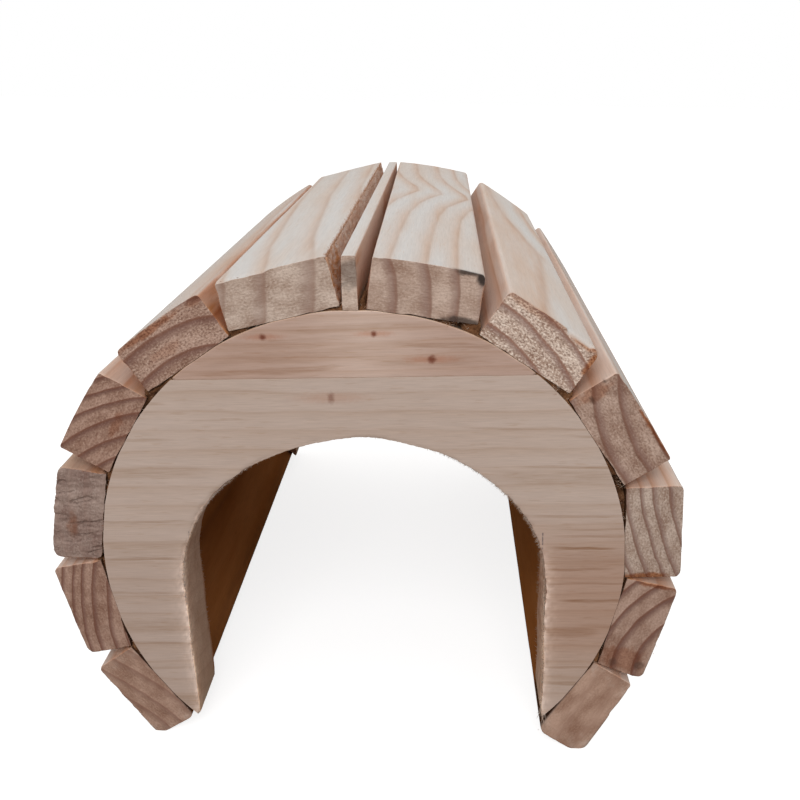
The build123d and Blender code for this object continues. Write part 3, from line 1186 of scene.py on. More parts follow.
        # Glue and sawdust darken the inner side where it lies on an arch.
        from_end = np.minimum(local[:, 2], HOUSE.length - local[:, 2])
        deep, toe = HOUSE.arch_thickness, HOUSE.toe_height
        on_arch = smooth_step(deep + 3, deep - 1, from_end)
        on_arch *= smooth_step(toe - 0.5, toe + 1.5, skin.world[:, 2])
        stain_and_shade = np.maximum(stain_and_shade, 0.85 * inner_face * on_arch)
        age = age + self.amber * side_face * on_arch * (0.5 + cloud)
        stain_and_shade = np.maximum(stain_and_shade, 0.5 * side_face * smooth_step(0.12, 0.0, rise))
        age = np.maximum(age, self._patches(local, self.resin, seed + 13))
        apart = np.array((31.0, 17.0, 53.0)) * seed  # so that no two laths show the same clouds
        skin.marks = {
            "grain": local + apart,
            "rings": number,
            "cut": np.where(on_end, 1.0, 0.0),
            "age": np.clip(age, 0, 1),
            "stain_and_shade": np.clip(stain_and_shade, 0, 1),
            # Painted light brightens the long faces of the sides.
            "tone": np.where(on_end, self.tone, (1 + self.tone) / 2 * (
                1 + (self.side_painted_light - 1) * side_face)),
            "heart": self.heart * np.where(on_end, 1.0, 0.3),
            "arcs": np.full(count, self.arcs),
            "fleck": np.full(count, self.fleck),
        }

    @staticmethod
    def _patches(local: Array, spots: tuple[Stain, ...], seed: int) -> Array:
        """How strongly each point of the front end is stained.

        Args:
            local: (n, 3) points from the lath's middle.
            spots: the patches.
            seed: for their ragged edges.

        Returns:
            (n,) strengths.
        """
        total = np.zeros(len(local))
        at_front = np.exp(-np.maximum(local[:, 2] - 0.3, 0) / 0.35)
        for spot in spots:
            away = np.hypot((local[:, 0] - spot.across) / spot.wide,
                            (local[:, 1] - spot.up) / spot.tall)
            away += 0.4 * layered_noise(local * (0.9, 0.9, 0.6), seed)
            total = np.maximum(total, spot.strength * smooth_step(1.1, 0.55, away) * at_front)
        return total

    def _splinter(self, skin: Skin, seed: int) -> None:
        """Leave a few slivers standing at the arrises of both ends.

        Args:
            skin: the piece, changed in place.
            seed: for their places.
        """
        rng = np.random.default_rng(Draw.SPLINTERS + seed)
        count = 34 if self.rough_side or self.weathered else 16
        on_top, on_glued_side = 0.35, 0.7  # shares of the slivers, the rest stand on the edges
        half, top = self.width / 2, self.thickness
        spots = np.zeros((count, 3))
        turn = rng.random(count)
        spots[:, 0] = np.where(turn < on_glued_side, rng.uniform(-half, half, count),
                               np.where(rng.random(count) < 0.5, -half, half))
        spots[:, 1] = np.where(turn < on_top, top, np.where(
            turn < on_glued_side, 0.0, rng.uniform(0, top, count)))
        # Their roots lie a little inside the wood.
        spots[:, :2] *= (0.985, 0.97)
        spots[:, 1] += 0.15
        spots[:, 2] = np.where(rng.random(count) < 0.65, 0.3, HOUSE.length - 0.3)
        root = self._placed(spots)
        centre = self._placed(spots * (0, 0, 1) + (0, top / 2, 0))
        way = (root - centre) * rng.uniform(0.0, 0.12, (count, 1)) + rng.normal(0, 0.35, (count, 3))
        way[:, 1] = np.where(spots[:, 2] < 1, -0.5, 0.5)
        lengths = rng.uniform(0.35, 0.95, count)
        keep = root[:, 2] > 1.5  # none where the house stands on the floor
        skin.add_fibres(root[keep], way[keep], lengths[keep],
                        rng.uniform(0.08, 0.18, count)[keep], Draw.LATH_BENDS + seed)
        if self.rough_side:
            self._fringe(skin, seed)

    def _fringe(self, skin: Skin, seed: int) -> None:
        """Cover the unplaned side with short hairs, longest along its outer arris.

        Args:
            skin: the piece, changed in place.
            seed: for their places.
        """
        rng = np.random.default_rng(Draw.FRINGE + seed)
        count, browned_and_shaded = 2200, 0.75
        on_arris = rng.random(count) < 0.6
        spots = np.empty((count, 3))
        spots[:, 0] = self.width / 2 + self.last_flare - rng.uniform(0.1, 0.5, count)
        spots[:, 1] = self.thickness * np.where(on_arris, 1, 1 - 0.9 * rng.random(count)) - 0.2
        spots[:, 2] = (HOUSE.length - 2) * rng.random(count) ** 1.5 + 1
        way = rng.normal((0.35, 0.5, 0.0), (0.5, 0.35, 0.7), (count, 3))
        way[:, 1] = np.where(on_arris, np.abs(way[:, 1]) + 0.2, way[:, 1] * 0.4)
        root, tip = self._placed(spots), self._placed(spots + way)
        new = skin.add_fibres(root, tip - root, rng.uniform(0.4, 1.2, count),
                              rng.uniform(0.1, 0.22, count), Draw.FRINGE_BENDS + seed)
        skin.marks["age"][new] = browned_and_shaded


# Clockwise from the left foot, as seen from the entrance. The numbers after the ring radii are
# slant and crown, where they differ from the usual ones.
LATHS = (
    Lath("left_foot_lath", 216.576, 24.1, 11.4, 0.8, (2.0, 0.4, 1.3, 2.0), (-21.0, 84.0),
         (77.0, 80.6, 84.9, 89.0), -0.5, 0.05, first_flare=-0.6, tone=0.9, heart=0.5, arcs=0.45,
         fleck=0.25, resin=(Stain(0.0, 5.5, 17.0, 12.0, 0.3),)),
    Lath("left_lower_lath", 192.795, 24.1, 11.0, -0.2, (0.4, 0.4, 1.2, 1.8), (-11.7, -43.8),
         (44.2, 47.7, 51.4, 54.0, 56.1, 58.6), 0.8, tone=0.88, heart=0.95, arcs=0.95, fleck=0.35,
         tear=0.22),
    Lath("left_weathered_lath", 172.061, 22.3, 11.6, 1.2, (1.0, 0.4, 1.5, 1.8), (6.0, -30.0),
         (31.0, 35.0, 38.5, 42.0), -0.5, 0.45, first_flare=1.2, tone=0.92, arcs=0.1, fleck=0.3,
         weathered=True, tear=0.2, cell=0.24, resin=(Stain(-3.6, 7.3, 3.8, 1.7, 0.6),)),
    Lath("left_upper_lath", 150.717, 20.8, 12.2, 0.7, (0.4, 0.4, 0.6, 0.6), (-23.7, -23.2),
         (29.5, 33.6, 38.1, 41.6, 44.7, 47.8), -0.5, 0.4, tone=0.87, heart=1.0, arcs=1.0, fleck=0.5,
         tear=0.26, resin=(Stain(1.0, 3.5, 3.4, 1.4, 0.5),)),
    Lath("left_shoulder_lath", 125.482, 22.7, 11.0, -3.0, (0.4, 0.4, 0.9, 1.0), (-4.5, -24.5),
         (22.8, 28.0, 33.9, 38.5), 0.1, 0.55, tone=0.92, heart=0.85, arcs=1.0, fleck=0.75,
         amber=0.3,
         resin=(Stain(-3.0, 10.6, 9.0, 1.0, 0.7), Stain(10.0, 10.4, 3.0, 1.2, 0.5),
                Stain(-2.0, 5.0, 5.0, 1.6, 0.3))),
    Lath("ridge_left_lath", 104.319, 24.5, 10.85, -1.6, (0.4, 0.4, 0.6, 0.9), (-90.0, 30.9),
         (82.5, 91.3, 101.5), 0.2,
         wander=((0, 0), (7, -0.8), (26, -3.6), (47, -5.0), (106, -8.6), (176, -9.4)),
         tone=0.94, heart=0.0, arcs=0.5, fleck=0.35, amber=0.3, rough_side=True,
         chips=(Chip(-6.5, 6.0, 0.35, 1.6),)),
    Lath("filler_strip", 91.885, 3.5, 11.6, -0.4, (0.2, 0.2, 0.3, 0.3), (-60.0, 5.0),
         (57.0, 63.5), crown=0.04, first_flare=-0.2, last_flare=-0.3, heart=0.05, arcs=0.4,
         fleck=0.3, stains=(Stain(0.4, 8.0, 3.2, 3.6, 0.5),)),
    Lath("ridge_right_lath", 83.432, 23.6, 11.2, 5.8, (0.4, 0.4, 0.9, 0.6), (-33.3, -1.0),
         (28.1, 35.3, 40.8, 46.5), -0.7, 0.5,
         wander=((0, 0), (30, 0.5), (62, 1.9), (80, 4.2), (92, 7.0), (104, 10.3), (112, 9.5),
                 (120, 7.0), (132, 4.0), (146, 1.9), (176, 0.6)),
         rear_flare=2.4, bulge=1.1, tone=0.97, heart=0.3, arcs=0.7, fleck=0.3,
         stains=(Stain(8.0, 11.0, 3.6, 1.3, 0.85), Stain(11.7, 10.4, 2.0, 2.2, 0.95),
                 Stain(8.5, 0.3, 5.0, 1.1, 0.8))),
    Lath("right_shoulder_lath", 57.863, 23.5, 11.4, 3.1, (0.4, 0.4, 1.9, 1.2), (-11.2, -35.2),
         (34.0, 38.5, 43.6, 47.7, 52.5), -0.4, 0.25,
         wander=((0, 0), (29, 1.5), (60, 4.0), (82, 6.0), (98, 3.0), (118, -3.0), (150, -6.0),
                 (176, -7.0)),
         tone=1.15, heart=0.0, arcs=1.0, fleck=0.95, tear=0.24, side_age_and_shade=0.85, side_painted_light=1.15,
         chips=(Chip(6.4, 3.4, 0.8, 1.9),),
         resin=(Stain(7.6, 10.6, 4.4, 0.9, 0.75), Stain(11.4, 8.0, 1.1, 3.4, 0.9),
                Stain(-5.0, 11.0, 9.0, 1.3, 0.4))),
    Lath("right_upper_lath", 35.076, 23.8, 12.0, 3.6, (0.4, 0.4, 0.6, 0.8), (8.8, 44.3),
         (33.0, 38.2, 43.8, 49.0), -0.3, 0.25, tone=0.92, heart=0.6, arcs=0.85, fleck=0.5,
         tear=0.22,
         stains=(Stain(-9.3, 4.3, 1.1, 0.7, 0.5), Stain(-11.6, 8.7, 0.5, 0.5, 0.6)),
         resin=(Stain(-10.5, 5.5, 2.2, 4.5, 0.55), Stain(4.0, 11.6, 8.0, 0.5, 0.9))),
    Lath("right_middle_lath", 4.926, 22.6, 12.7, -4.8, (0.4, 0.4, 1.7, 1.2), (-15.8, 70.0),
         (57.5, 60.9, 64.5, 67.0, 70.3), -0.1, last_flare=0.4, tone=0.88, arcs=0.9, fleck=0.5,
         side_age_and_shade=0.9, tear=0.22, resin=(Stain(11.0, 4.5, 0.9, 6.0, 0.9),)),
    Lath("right_lower_lath", -11.133, 23.8, 12.2, 1.6, (0.4, 0.4, 1.8, 1.3), (9.4, 28.9),
         (16.5, 20.8, 25.9, 30.1, 34.0), -0.9, 0.15, last_flare=1.8, tone=0.89, heart=0.8,
         arcs=1.0, fleck=0.3, tear=0.22,
         stains=(Stain(10.1, 9.6, 1.6, 1.4, 0.45), Stain(10.6, 3.3, 1.2, 1.2, 0.35)),
         resin=(Stain(9.5, 5.0, 4.0, 6.5, 0.5), Stain(-11.5, 7.0, 0.8, 5.0, 0.8))),
    Lath("right_foot_lath", -31.742, 23.6, 11.2, 3.6, (0.4, 2.6, 3.2, 0.8), (10.0, -70.0),
         (70.0, 75.5, 81.0), 2.2, 0.05, tone=0.97, heart=0.3, arcs=0.12, fleck=0.2,
         tear=0.08, resin=(Stain(0.0, 5.5, 17.0, 12.0, 0.36),)),
)


# ---- arches -----------------------------------------------------------------------------
class Board(Enum):
    """The two boards that each arch panel is glued up from."""

    TOP = "top"
    MAIN = "main"


class End(Enum):
    """Which end of the house an arch closes, and which way that end faces lengthwise."""

    FRONT = -1
    REAR = 1

    @property
    def start(self) -> float:
        """Where that end's arch starts, lengthwise."""
        half = HOUSE.length / 2
        return -half if self is End.FRONT else half - HOUSE.arch_thickness


@dataclass(frozen=True)
class ArchBoard:
    """One board of an arch, swept round the ring axis from one end to the other.

    The entrance has straight legs, shoulders on an arc and a crown on a larger one. Its
    heights, and that of the glue line between the boards, are from the ring axis.

    Attributes:
        springing_drop: how far below the axis the shoulders spring from the legs.
        shoulder_share: radius of the shoulders, as a share of their whole rise.
        glue_half: half the thickness of the glue line.
        eased: radius of the sanded arris along the rim or the entrance.
        narrowest: the board stops where it would be slimmer than this.
    """

    node: str
    board: Board
    end: End
    opening_width: float = 84.0
    opening_crown: float = 31.2
    springing_drop: float = 5.7
    shoulder_share: float = 0.895
    glue_line: float = 45.2
    glue_half: float = 0.02
    eased: float = 0.25
    narrowest: float = 0.34

    def build(self, seed: int) -> bpy.types.Object:
        """Make the board's mesh, dress it and let it stand for its node.

        Args:
            seed: gives this board its own roughness.

        Returns:
            The finished object.
        """
        step = 0.5 if self.end is End.FRONT else 0.75
        turns = self._turns(step)
        inner, outer = self.inner_reach(turns), self.outer_reach(turns)
        widest = float(np.max(outer - inner))
        # The joint between the boards was sanded flush, so its edges are sharp.
        sharp = 0.03
        inside, outside = (sharp, self.eased) if self.board is Board.TOP else (self.eased, sharp)
        section = Section((inside, outside, outside, inside), max(12, round(widest / (step * 1.2))),
                          round(HOUSE.arch_thickness / (step * 1.3)), arc=2)
        loops, facing = section.loop(outer - inner, HOUSE.arch_thickness)
        self._saw_edge(loops, facing, turns, inner, seed)
        rings = polar(inner[:, None] + loops[:, :, 0], turns[:, None],
                      self.end.start + loops[:, :, 1])
        skin = Skin()
        skin.sweep(rings, section, (Slot.FACE, Slot.SAWN, Slot.FACE, Slot.SAWN),
                   (Slot.SAWN, Slot.SAWN))
        skin.world = HOUSE.arch_to_world(skin.local)
        skin.world[:, 2] = np.maximum(skin.world[:, 2], HOUSE.toe_height)
        skin.outward()
        self._mark(skin, seed)
        if self.board is Board.MAIN:
            self._fray(skin, seed)
        made = skin.to_object(self.node + "_timber", (SANDED, BANDSAWN, TORN))
        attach(made, "root")
        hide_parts(self.node)
        return made

    def outline(self) -> Array:
        """Half of the entrance, from its crown down its right leg.

        Returns:
            (n, 2) points round the ring axis.
        """
        half, spring = self.opening_width / 2, -self.springing_drop
        rise = self.opening_crown - spring
        shoulder = self.shoulder_share * rise
        inset = half - shoulder
        crown = (inset ** 2 + rise ** 2 - shoulder ** 2) / (2 * (rise - shoulder))
        centre = self.opening_crown - crown
        lean = math.atan2(spring - centre, inset)
        on_arc, on_leg, below_floor = 60, 120, -70
        top = np.linspace(math.pi / 2, lean, on_arc)
        side = np.linspace(lean, 0, on_arc)[1:]
        leg = np.linspace(spring, below_floor, on_leg)[1:]
        return np.concatenate([
            np.stack([crown * np.cos(top), centre + crown * np.sin(top)], axis=1),
            np.stack([inset + shoulder * np.cos(side), spring + shoulder * np.sin(side)], axis=1),
            np.stack([np.full(len(leg), half), leg], axis=1)])

    def inner_reach(self, turns: Array) -> Array:
        """Distance from the ring axis to the board's inner side.

        Args:
            turns: (s,) directions in radians.

        Returns:
            (s,) distances.
        """
        if self.board is Board.TOP:
            return (self.glue_line + self.glue_half) / np.sin(turns)
        edge = self.outline()
        from_top = np.arctan2(edge[:, 0], edge[:, 1])
        return np.interp(np.abs(turns - math.pi / 2), from_top, np.hypot(edge[:, 0], edge[:, 1]))

    def outer_reach(self, turns: Array) -> Array:
        """Distance from the ring axis to the rim, planed under each lath, or the glue line.

        Args:
            turns: (s,) directions in radians.

        Returns:
            (s,) distances.
        """
        reach = np.full(len(turns), HOUSE.rim_radius)
        seat = 0.2  # radians, more than half of any seat
        for lath in LATHS:
            away = turns - math.radians(lath.angle - HOUSE.arch_tilt)
            flat = HOUSE.seat_radius / np.cos(away)
            reach = np.where(np.abs(away) < seat, np.minimum(reach, flat), reach)
        if self.board is Board.MAIN:
            upward = 0.1  # below this sine the glue line is out of reach
            joint = (self.glue_line - self.glue_half) / np.maximum(np.sin(turns), upward)
            reach = np.where(np.sin(turns) > upward, np.minimum(reach, joint), reach)
        return reach

    def _turns(self, step: float) -> Array:
        """Directions of the sections, from the left end of the board to the right one.

        Args:
            step: distance wanted between sections.

        Returns:
            (s,) directions in radians.
        """
        meets = math.asin(self.glue_line / HOUSE.rim_radius)
        left_toe, right_toe, mean_reach = math.radians(226), math.radians(-46), 52
        ends = [left_toe, math.pi - meets, meets, right_toe]
        if self.board is Board.TOP:
            ends = ends[1:3]
        parts = [np.linspace(a, b, max(8, round(abs(a - b) * mean_reach / step)), endpoint=False)
                 for a, b in zip(ends, ends[1:])]
        turns = np.concatenate(parts + [[ends[-1]]])
        wide = self.outer_reach(turns) - self.inner_reach(turns)
        return turns[wide > self.narrowest]

    def _saw_edge(self, loops: Array, facing: Array, turns: Array, inner: Array,
                  seed: int) -> None:
        """Give the entrance its bandsaw ripple and its ragged arrises.

        Args:
            loops: (s, n, 2) section points, changed in place.
            facing: (n, 2) outward directions round the section.
            turns: (s,) directions in radians.
            inner: (s,) distances to the inner side.
            seed: for the pattern.
        """
        sanded_off, ripple_pitch, hand_sway = 0.02, 1.7, 9
        if self.board is Board.TOP:
            loops -= facing[None] * sanded_off
            return
        travel = np.concatenate([[0], np.cumsum(np.hypot(
            np.diff(inner * np.cos(turns)), np.diff(inner * np.sin(turns))))])
        along = np.broadcast_to(travel[:, None], loops.shape[:2])
        places = np.stack([along, loops[:, :, 0], loops[:, :, 1]], axis=2).reshape(-1, 3)
        crossing = np.abs(np.cos(turns))[:, None] ** 2  # how far the blade crossed the grain
        edge = (facing[:, 0] < -0.5)[None, :]
        ripple = 0.02 * (1 + np.sin(along * 2 * math.pi / ripple_pitch
                                    + 1.3 * np.sin(along / hand_sway)))
        fuzz = np.abs(layered_noise(places * (1.6, 1.0, 0.9), seed)).reshape(along.shape)
        deep = sanded_off + np.where(edge, ripple + fuzz * (0.08 + 0.16 * crossing), 0)
        jagged = layered_noise(np.outer(travel, (0.9, 0, 0)), seed + 1)
        broad = lattice_noise(np.outer(travel, (0.16, 0, 0)), seed + 2)
        wobble = lattice_noise(np.outer(travel, (0.09, 0, 0)), seed + 7)[:, None]
        deep += np.where(edge, 0.4 * wobble, 0)
        loops -= facing[None] * deep[:, :, None]
        # The arrises of both faces crumbled, most of all on the legs.
        legs = smooth_step(0.45, 0.95, np.abs(np.cos(turns)))
        ragged = np.clip(0.2 + 0.22 * jagged + 0.25 * broad, 0, 1) * (0.45 + 0.75 * legs)
        for face_y, inward in ((0.0, 1), (HOUSE.arch_thickness, -1)):
            away = np.hypot(loops[:, :, 0], loops[:, :, 1] - face_y)
            pull = ragged[:, None] * np.maximum(0, 1 - away / (0.4 + 1.6 * ragged[:, None]))
            loops[:, :, 0] += pull * 0.9
            loops[:, :, 1] += pull * 0.7 * inward

    def _mark(self, skin: Skin, seed: int) -> None:
        """Write what the finishes read: grain, rings, browning and painted shade, streaks and tone.

        Args:
            skin: the piece, changed in place.
            seed: gives this board its own noise.
        """
        local = skin.local
        across, up = local[:, 0], local[:, 1]
        depth = np.abs(local[:, 2]) - (HOUSE.length / 2 - HOUSE.arch_thickness)
        top = self.board is Board.TOP
        sweep = 0.9 * lattice_noise(local * (0.025, 0.10, 0.04), seed + 3)
        sweep += 0.35 * lattice_noise(local * (0.09, 0.35, 0.1), seed + 4)
        ring_width, lean = (3.1, 0.35) if top else (4.6, -0.35)
        number = (up + sweep + lean * depth) / ring_width
        reach = np.hypot(across, up)
        turns = (np.arctan2(up, across) + math.pi / 2) % (2 * math.pi) - math.pi / 2
        edge = self.outer_reach(turns)
        bare = smooth_step(0.7, 0.2, np.minimum(depth, HOUSE.arch_thickness - depth))
        inner_side = (reach < edge - 2.5) & (depth > 0.2) & (depth < HOUSE.arch_thickness - 0.2)
        shift = (0.0, 0.0, 0.0) if self.end is End.FRONT else (211.0, 97.0, 143.0)
        grain = np.stack([up, local[:, 2] * 0.97 + 83.0, across], axis=1) + shift
        inner_face = smooth_step(2.0, 0.2, depth)
        # The saw left a pale furry border along the legs of the entrance, brightened further by a
        # painted highlight where the fuzz catches the light.
        border = reach - self.inner_reach(turns)
        behind = np.clip(HOUSE.arch_thickness - depth, 0, None)
        frayed = np.exp(-np.hypot(np.maximum(border, 0),
                                  np.where(across > 0, 0.12, 0.6) * behind) / 1.3)
        frayed *= smooth_step(12, -8, up)
        frayed *= 0.9 + 1.2 * layered_noise(local * (1.3, 1.3, 1.3), seed + 6)
        # Up on the right the panel is a little paler, low on the right browner and yellower, and
        # low on the left darker and redder.
        upper_right = smooth_step(10, 45, across) * smooth_step(-5, 22, up)
        lower_right = smooth_step(25, 42, across) * smooth_step(18, -4, up)
        yellow = lower_right * smooth_step(-34, -18, up)
        lower_left = smooth_step(-25, -42, across) * smooth_step(14, -6, up)
        middle = np.exp(-((across - 3) / 13) ** 2)
        rim = smooth_step(0.6, 0.1, edge - reach) * (reach > HOUSE.rim_radius - 1.5)
        skin.marks = {
            "grain": grain,
            "rings": number,
            "cut": np.clip(np.abs(across) / np.maximum(reach, 1), 0, 1) ** 2 * inner_side,
            # Painted shade browns the arch faces that look into the house.
            "age": np.clip((1 - np.clip(frayed, 0, 1)) * (
                0.2 * inner_side * (1 - bare) + 0.13 * lower_right + 0.29 * yellow)
                           + 0.75 * inner_face, 0, 1),
            "stain_and_shade": 0.85 * rim * (1 - bare),
            # The sawn sides of the entrance are brightened as painted light, and the furry border
            # more, partly as a painted highlight.
            "tone": 1.04 + 0.12 * middle if top else (
                0.95 + 0.7 * frayed + 0.02 * upper_right - 0.04 * lower_left
                + 0.15 * inner_side),
            "heart": 0.87 - 0.45 * middle if top else (
                (0.08 + 0.16 * lower_left) * (1 - upper_right)
                * (1 - 0.6 * smooth_step(15, 35, up)) * (1 - 0.6 * lower_right)
                * (1 - np.clip(frayed, 0, 1))),
            "arcs": np.full(len(local), 0.15),
            "fleck": np.full(len(local), 0.3),
        }

    def _fray(self, skin: Skin, seed: int) -> None:
        """Stand torn fibres along both arrises of the entrance, most of all on the legs.

        Args:
            skin: the piece, changed in place.
            seed: for their places.
        """
        rng = np.random.default_rng(Draw.BOARD_FRAY + seed)
        count = 5600 if self.end is End.FRONT else 400
        slimmest = 1.5  # no fibres where the board is slimmer than this
        turns = rng.uniform(math.radians(-43), math.radians(223), count)
        legs = np.abs(np.cos(turns)) ** 1.5
        turns = turns[rng.random(count) < 0.12 + 0.88 * legs]
        reach = self.inner_reach(turns)
        keep = self.outer_reach(turns) - reach > slimmest
        turns, reach = turns[keep], reach[keep]
        legs = np.abs(np.cos(turns)) ** 1.5
        count = len(turns)
        outward_face = rng.random(count) < 0.8
        near = self.end.value
        face = np.where(outward_face, HOUSE.length / 2,
                        HOUSE.length / 2 - HOUSE.arch_thickness) * near
        side = np.where(outward_face, near, -near)
        inset = rng.uniform(0.05, 0.45, count)
        root = polar(reach + inset, turns, face - side * rng.uniform(0.1, 0.7, count))
        inward = polar(-1.0, turns, 0.0)
        way = inward * rng.uniform(0.3, 1.0, (count, 1)) + rng.normal(0, 0.35, (count, 3))
        way[:, 2] += side * rng.uniform(0.0, 0.5, count)
        lengths = rng.uniform(0.25, 1.0, count) * (0.6 + 0.4 * legs)
        widths = rng.uniform(0.07, 0.17, count)
        if self.end is End.FRONT:
            # The tip of the right leg was left hanging in slivers.
            more = 90
            turns = np.radians(rng.uniform(-45.0, -42.5, more))
            reach = self.inner_reach(turns) + rng.uniform(0.1, 0.9, more)
            root = np.concatenate([root, polar(
                reach, turns, self.end.start + rng.uniform(0.2, 2.5, more))])
            way = np.concatenate([way, rng.normal((-0.05, -1.0, 0.0), (0.1, 0.1, 0.12), (more, 3))])
            lengths = np.concatenate([lengths, rng.uniform(1.2, 3.2, more)])
            widths = np.concatenate([widths, rng.uniform(0.25, 0.6, more)])
        tip = HOUSE.arch_to_world(root + way)
        root = HOUSE.arch_to_world(root)
        new = skin.add_fibres(root, tip - root, lengths, widths, Draw.BOARD_BENDS + seed)
        skin.marks["age"][new] *= 0.3


ARCH_BOARDS = (
    ArchBoard("front_arch_top_board", Board.TOP, End.FRONT),
    ArchBoard("front_arch_main_board", Board.MAIN, End.FRONT),
    ArchBoard("rear_arch_top_board", Board.TOP, End.REAR),
    ArchBoard("rear_arch_main_board", Board.MAIN, End.REAR),
)


# ---- glue -------------------------------------------------------------------------------
@dataclass(frozen=True)
class Hollow:
    """A place on the rim that the glue didn't reach, by its angle round the ring."""

    angle: float
    half: float
    depth: float


@dataclass(frozen=True)
class GlueSeam:
    """Glue and sawdust squeezed out between the rim of an arch and the laths on it.

    Attributes:
        recess: how far it stays behind both faces of the arch, on average.
        swell: how high it stands in the gap between two laths.
        packed: (angle, extra height) of gaps that are filled higher.
        spacing: between its sections.
        sunk: how far it starts below the rim.
        thinnest: where it has almost no room.
        fuzz: how many torn fibres stick in it.
        hollows: places that the glue didn't reach.
        tufts: angles at which shavings stick out.
    """

    name: str
    end: End
    recess: float = 0.9
    swell: float = 1.2
    packed: tuple[tuple[float, float], ...] = ()
    spacing: float = 0.5
    sunk: float = 0.2
    thinnest: float = 0.16
    fuzz: int = 420
    hollows: tuple[Hollow, ...] = ()
    tufts: tuple[float, ...] = ()

    def build(self, seed: int) -> bpy.types.Object:
        """Make the seam's mesh and dress it.

        Args:
            seed: gives this seam its own roughness.

        Returns:
            The finished object.
        """
        angles, reach = self._course()
        turns = np.radians(angles - HOUSE.arch_tilt)
        rim = ArchBoard("", Board.TOP, self.end).outer_reach(turns) - self.sunk
        section = Section((0.04,) * 4, 6, 10, arc=1)
        loops, _ = section.loop(np.maximum(reach - rim, self.thinnest), HOUSE.arch_thickness)
        radius = rim[:, None] + loops[:, :, 0]
        ragged = np.stack(np.broadcast_arrays(turns[:, None] * HOUSE.rim_radius, radius, 0.0),
                          axis=2)
        deep = layered_noise(ragged.reshape(-1, 3) * (0.5, 1.4, 1), seed).reshape(radius.shape)
        deep = self.recess * np.clip(1 + 1.3 * deep, 0.15, 2.4)
        for hollow in self.hollows:
            near = smooth_step(1.0, 0.5, np.abs(angles - hollow.angle) / hollow.half)
            deep += hollow.depth * near[:, None]
        y = deep + loops[:, :, 1] * (1 - 2 * deep / HOUSE.arch_thickness)
        skin = Skin()
        skin.sweep(polar(radius, turns[:, None], self.end.start + y), section, (Slot.FACE,) * 4,
                   (Slot.FACE,) * 2)
        skin.world = HOUSE.arch_to_world(skin.local)
        skin.outward()
        levels = dict.fromkeys(MARKS, 0.0) | {"rings": 0.3, "cut": 1.0, "tone": 1.0, "fleck": 0.3}
        skin.marks = {"grain": skin.local + 400.0} | {
            name: np.full(len(skin.local), level) for name, level in levels.items()}
        self._fuzz(skin, turns, rim, reach, seed)
        made = skin.to_object(self.name, (GLUED, GLUED, TORN))
        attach(made, "root")
        return made

    def _course(self) -> tuple[Array, Array]:
        """Follow the glued sides of the laths round the rim, with a ridge in every gap.

        Returns:
            (s,) angles in degrees, clockwise, and (s,) distances from the ring axis.
        """
        angles, reach = [], []
        corner, seat = None, HOUSE.seat_radius
        left_end, right_end = 224.0, -39.5
        for lath in LATHS:
            first = lath.angle + math.degrees(math.atan((lath.width / 2 - lath.slide) / seat))
            last = lath.angle - math.degrees(math.atan((lath.width / 2 + lath.slide) / seat))
            span = np.linspace(first, last, max(6, round(lath.width / self.spacing)))
            along = seat / np.cos(np.radians(span - lath.angle)) - 0.05
            if corner is not None:
                share = np.linspace(0, 1, 9)[1:-1]
                angles.append(corner[0] + (span[0] - corner[0]) * share)
                height = self.swell + sum(
                    more for where, more in self.packed if abs(where - angles[-1][3]) < 2.5)
                reach.append(corner[1] + (along[0] - corner[1]) * share
                             + height * np.sin(math.pi * share) ** 0.4)
            angles.append(span)
            reach.append(along)
            corner = (span[-1], along[-1])
        angles, reach = np.concatenate(angles), np.concatenate(reach)
        order = np.argsort(-angles, kind="stable")
        angles, reach = angles[order], reach[order]
        keep = (angles < left_end) & (angles > right_end)
        keep &= np.concatenate([[True], np.diff(angles) < -0.005])
        return angles[keep], reach[keep]

    def _fuzz(self, skin: Skin, turns: Array, rim: Array, reach: Array, seed: int) -> None:
        """Stand torn fibres and shavings in the seam.

        Args:
            skin: the piece, changed in place.
            turns: (s,) directions in radians.
            rim: (s,) distances to the rim.
            reach: (s,) distances to the laths.
            seed: for their places.
        """
        rng = np.random.default_rng(Draw.GLUE_FUZZ + seed)
        near, tuft = self.end.value, 11
        spots = rng.uniform(turns.min(), turns.max(), self.fuzz)
        lengths = rng.uniform(0.25, 0.8, self.fuzz)
        for angle in self.tufts:
            spots = np.append(spots, math.radians(angle - HOUSE.arch_tilt)
                              + rng.normal(0, 0.010, tuft))
            lengths = np.append(lengths, rng.uniform(1.0, 2.6, tuft))
        count = len(spots)
        low = np.interp(spots, turns[::-1], rim[::-1]) + self.sunk
        high = np.interp(spots, turns[::-1], reach[::-1])
        radius = low + (high - low) * rng.uniform(0.0, 1.0, count)
        root = polar(radius, spots, near * (HOUSE.length / 2 - rng.uniform(0.3, 1.0, count)))
        way = rng.normal(0, 1.0, (count, 3))
        way[:, 2] = near * rng.uniform(0.1, 0.7, count)
        tip = HOUSE.arch_to_world(root + way)
        root = HOUSE.arch_to_world(root)
        skin.add_fibres(root, tip - root, lengths, rng.uniform(0.07, 0.16, count),
                        Draw.GLUE_BENDS + seed)


GLUE_SEAMS = (
    GlueSeam("front_glue_seam", End.FRONT, packed=((89.3, 1.2),),
             hollows=(Hollow(20.6, 2.6, 4.0), Hollow(70.7, 1.2, 2.0), Hollow(113.0, 1.2, 1.5)),
             tufts=(73.5, 71.5, 46.6, 20.5, 9.5)),
    GlueSeam("rear_glue_seam", End.REAR, fuzz=120,
             packed=((93.0, 4.5), (89.3, 4.5), (70.7, 5.5))),
)


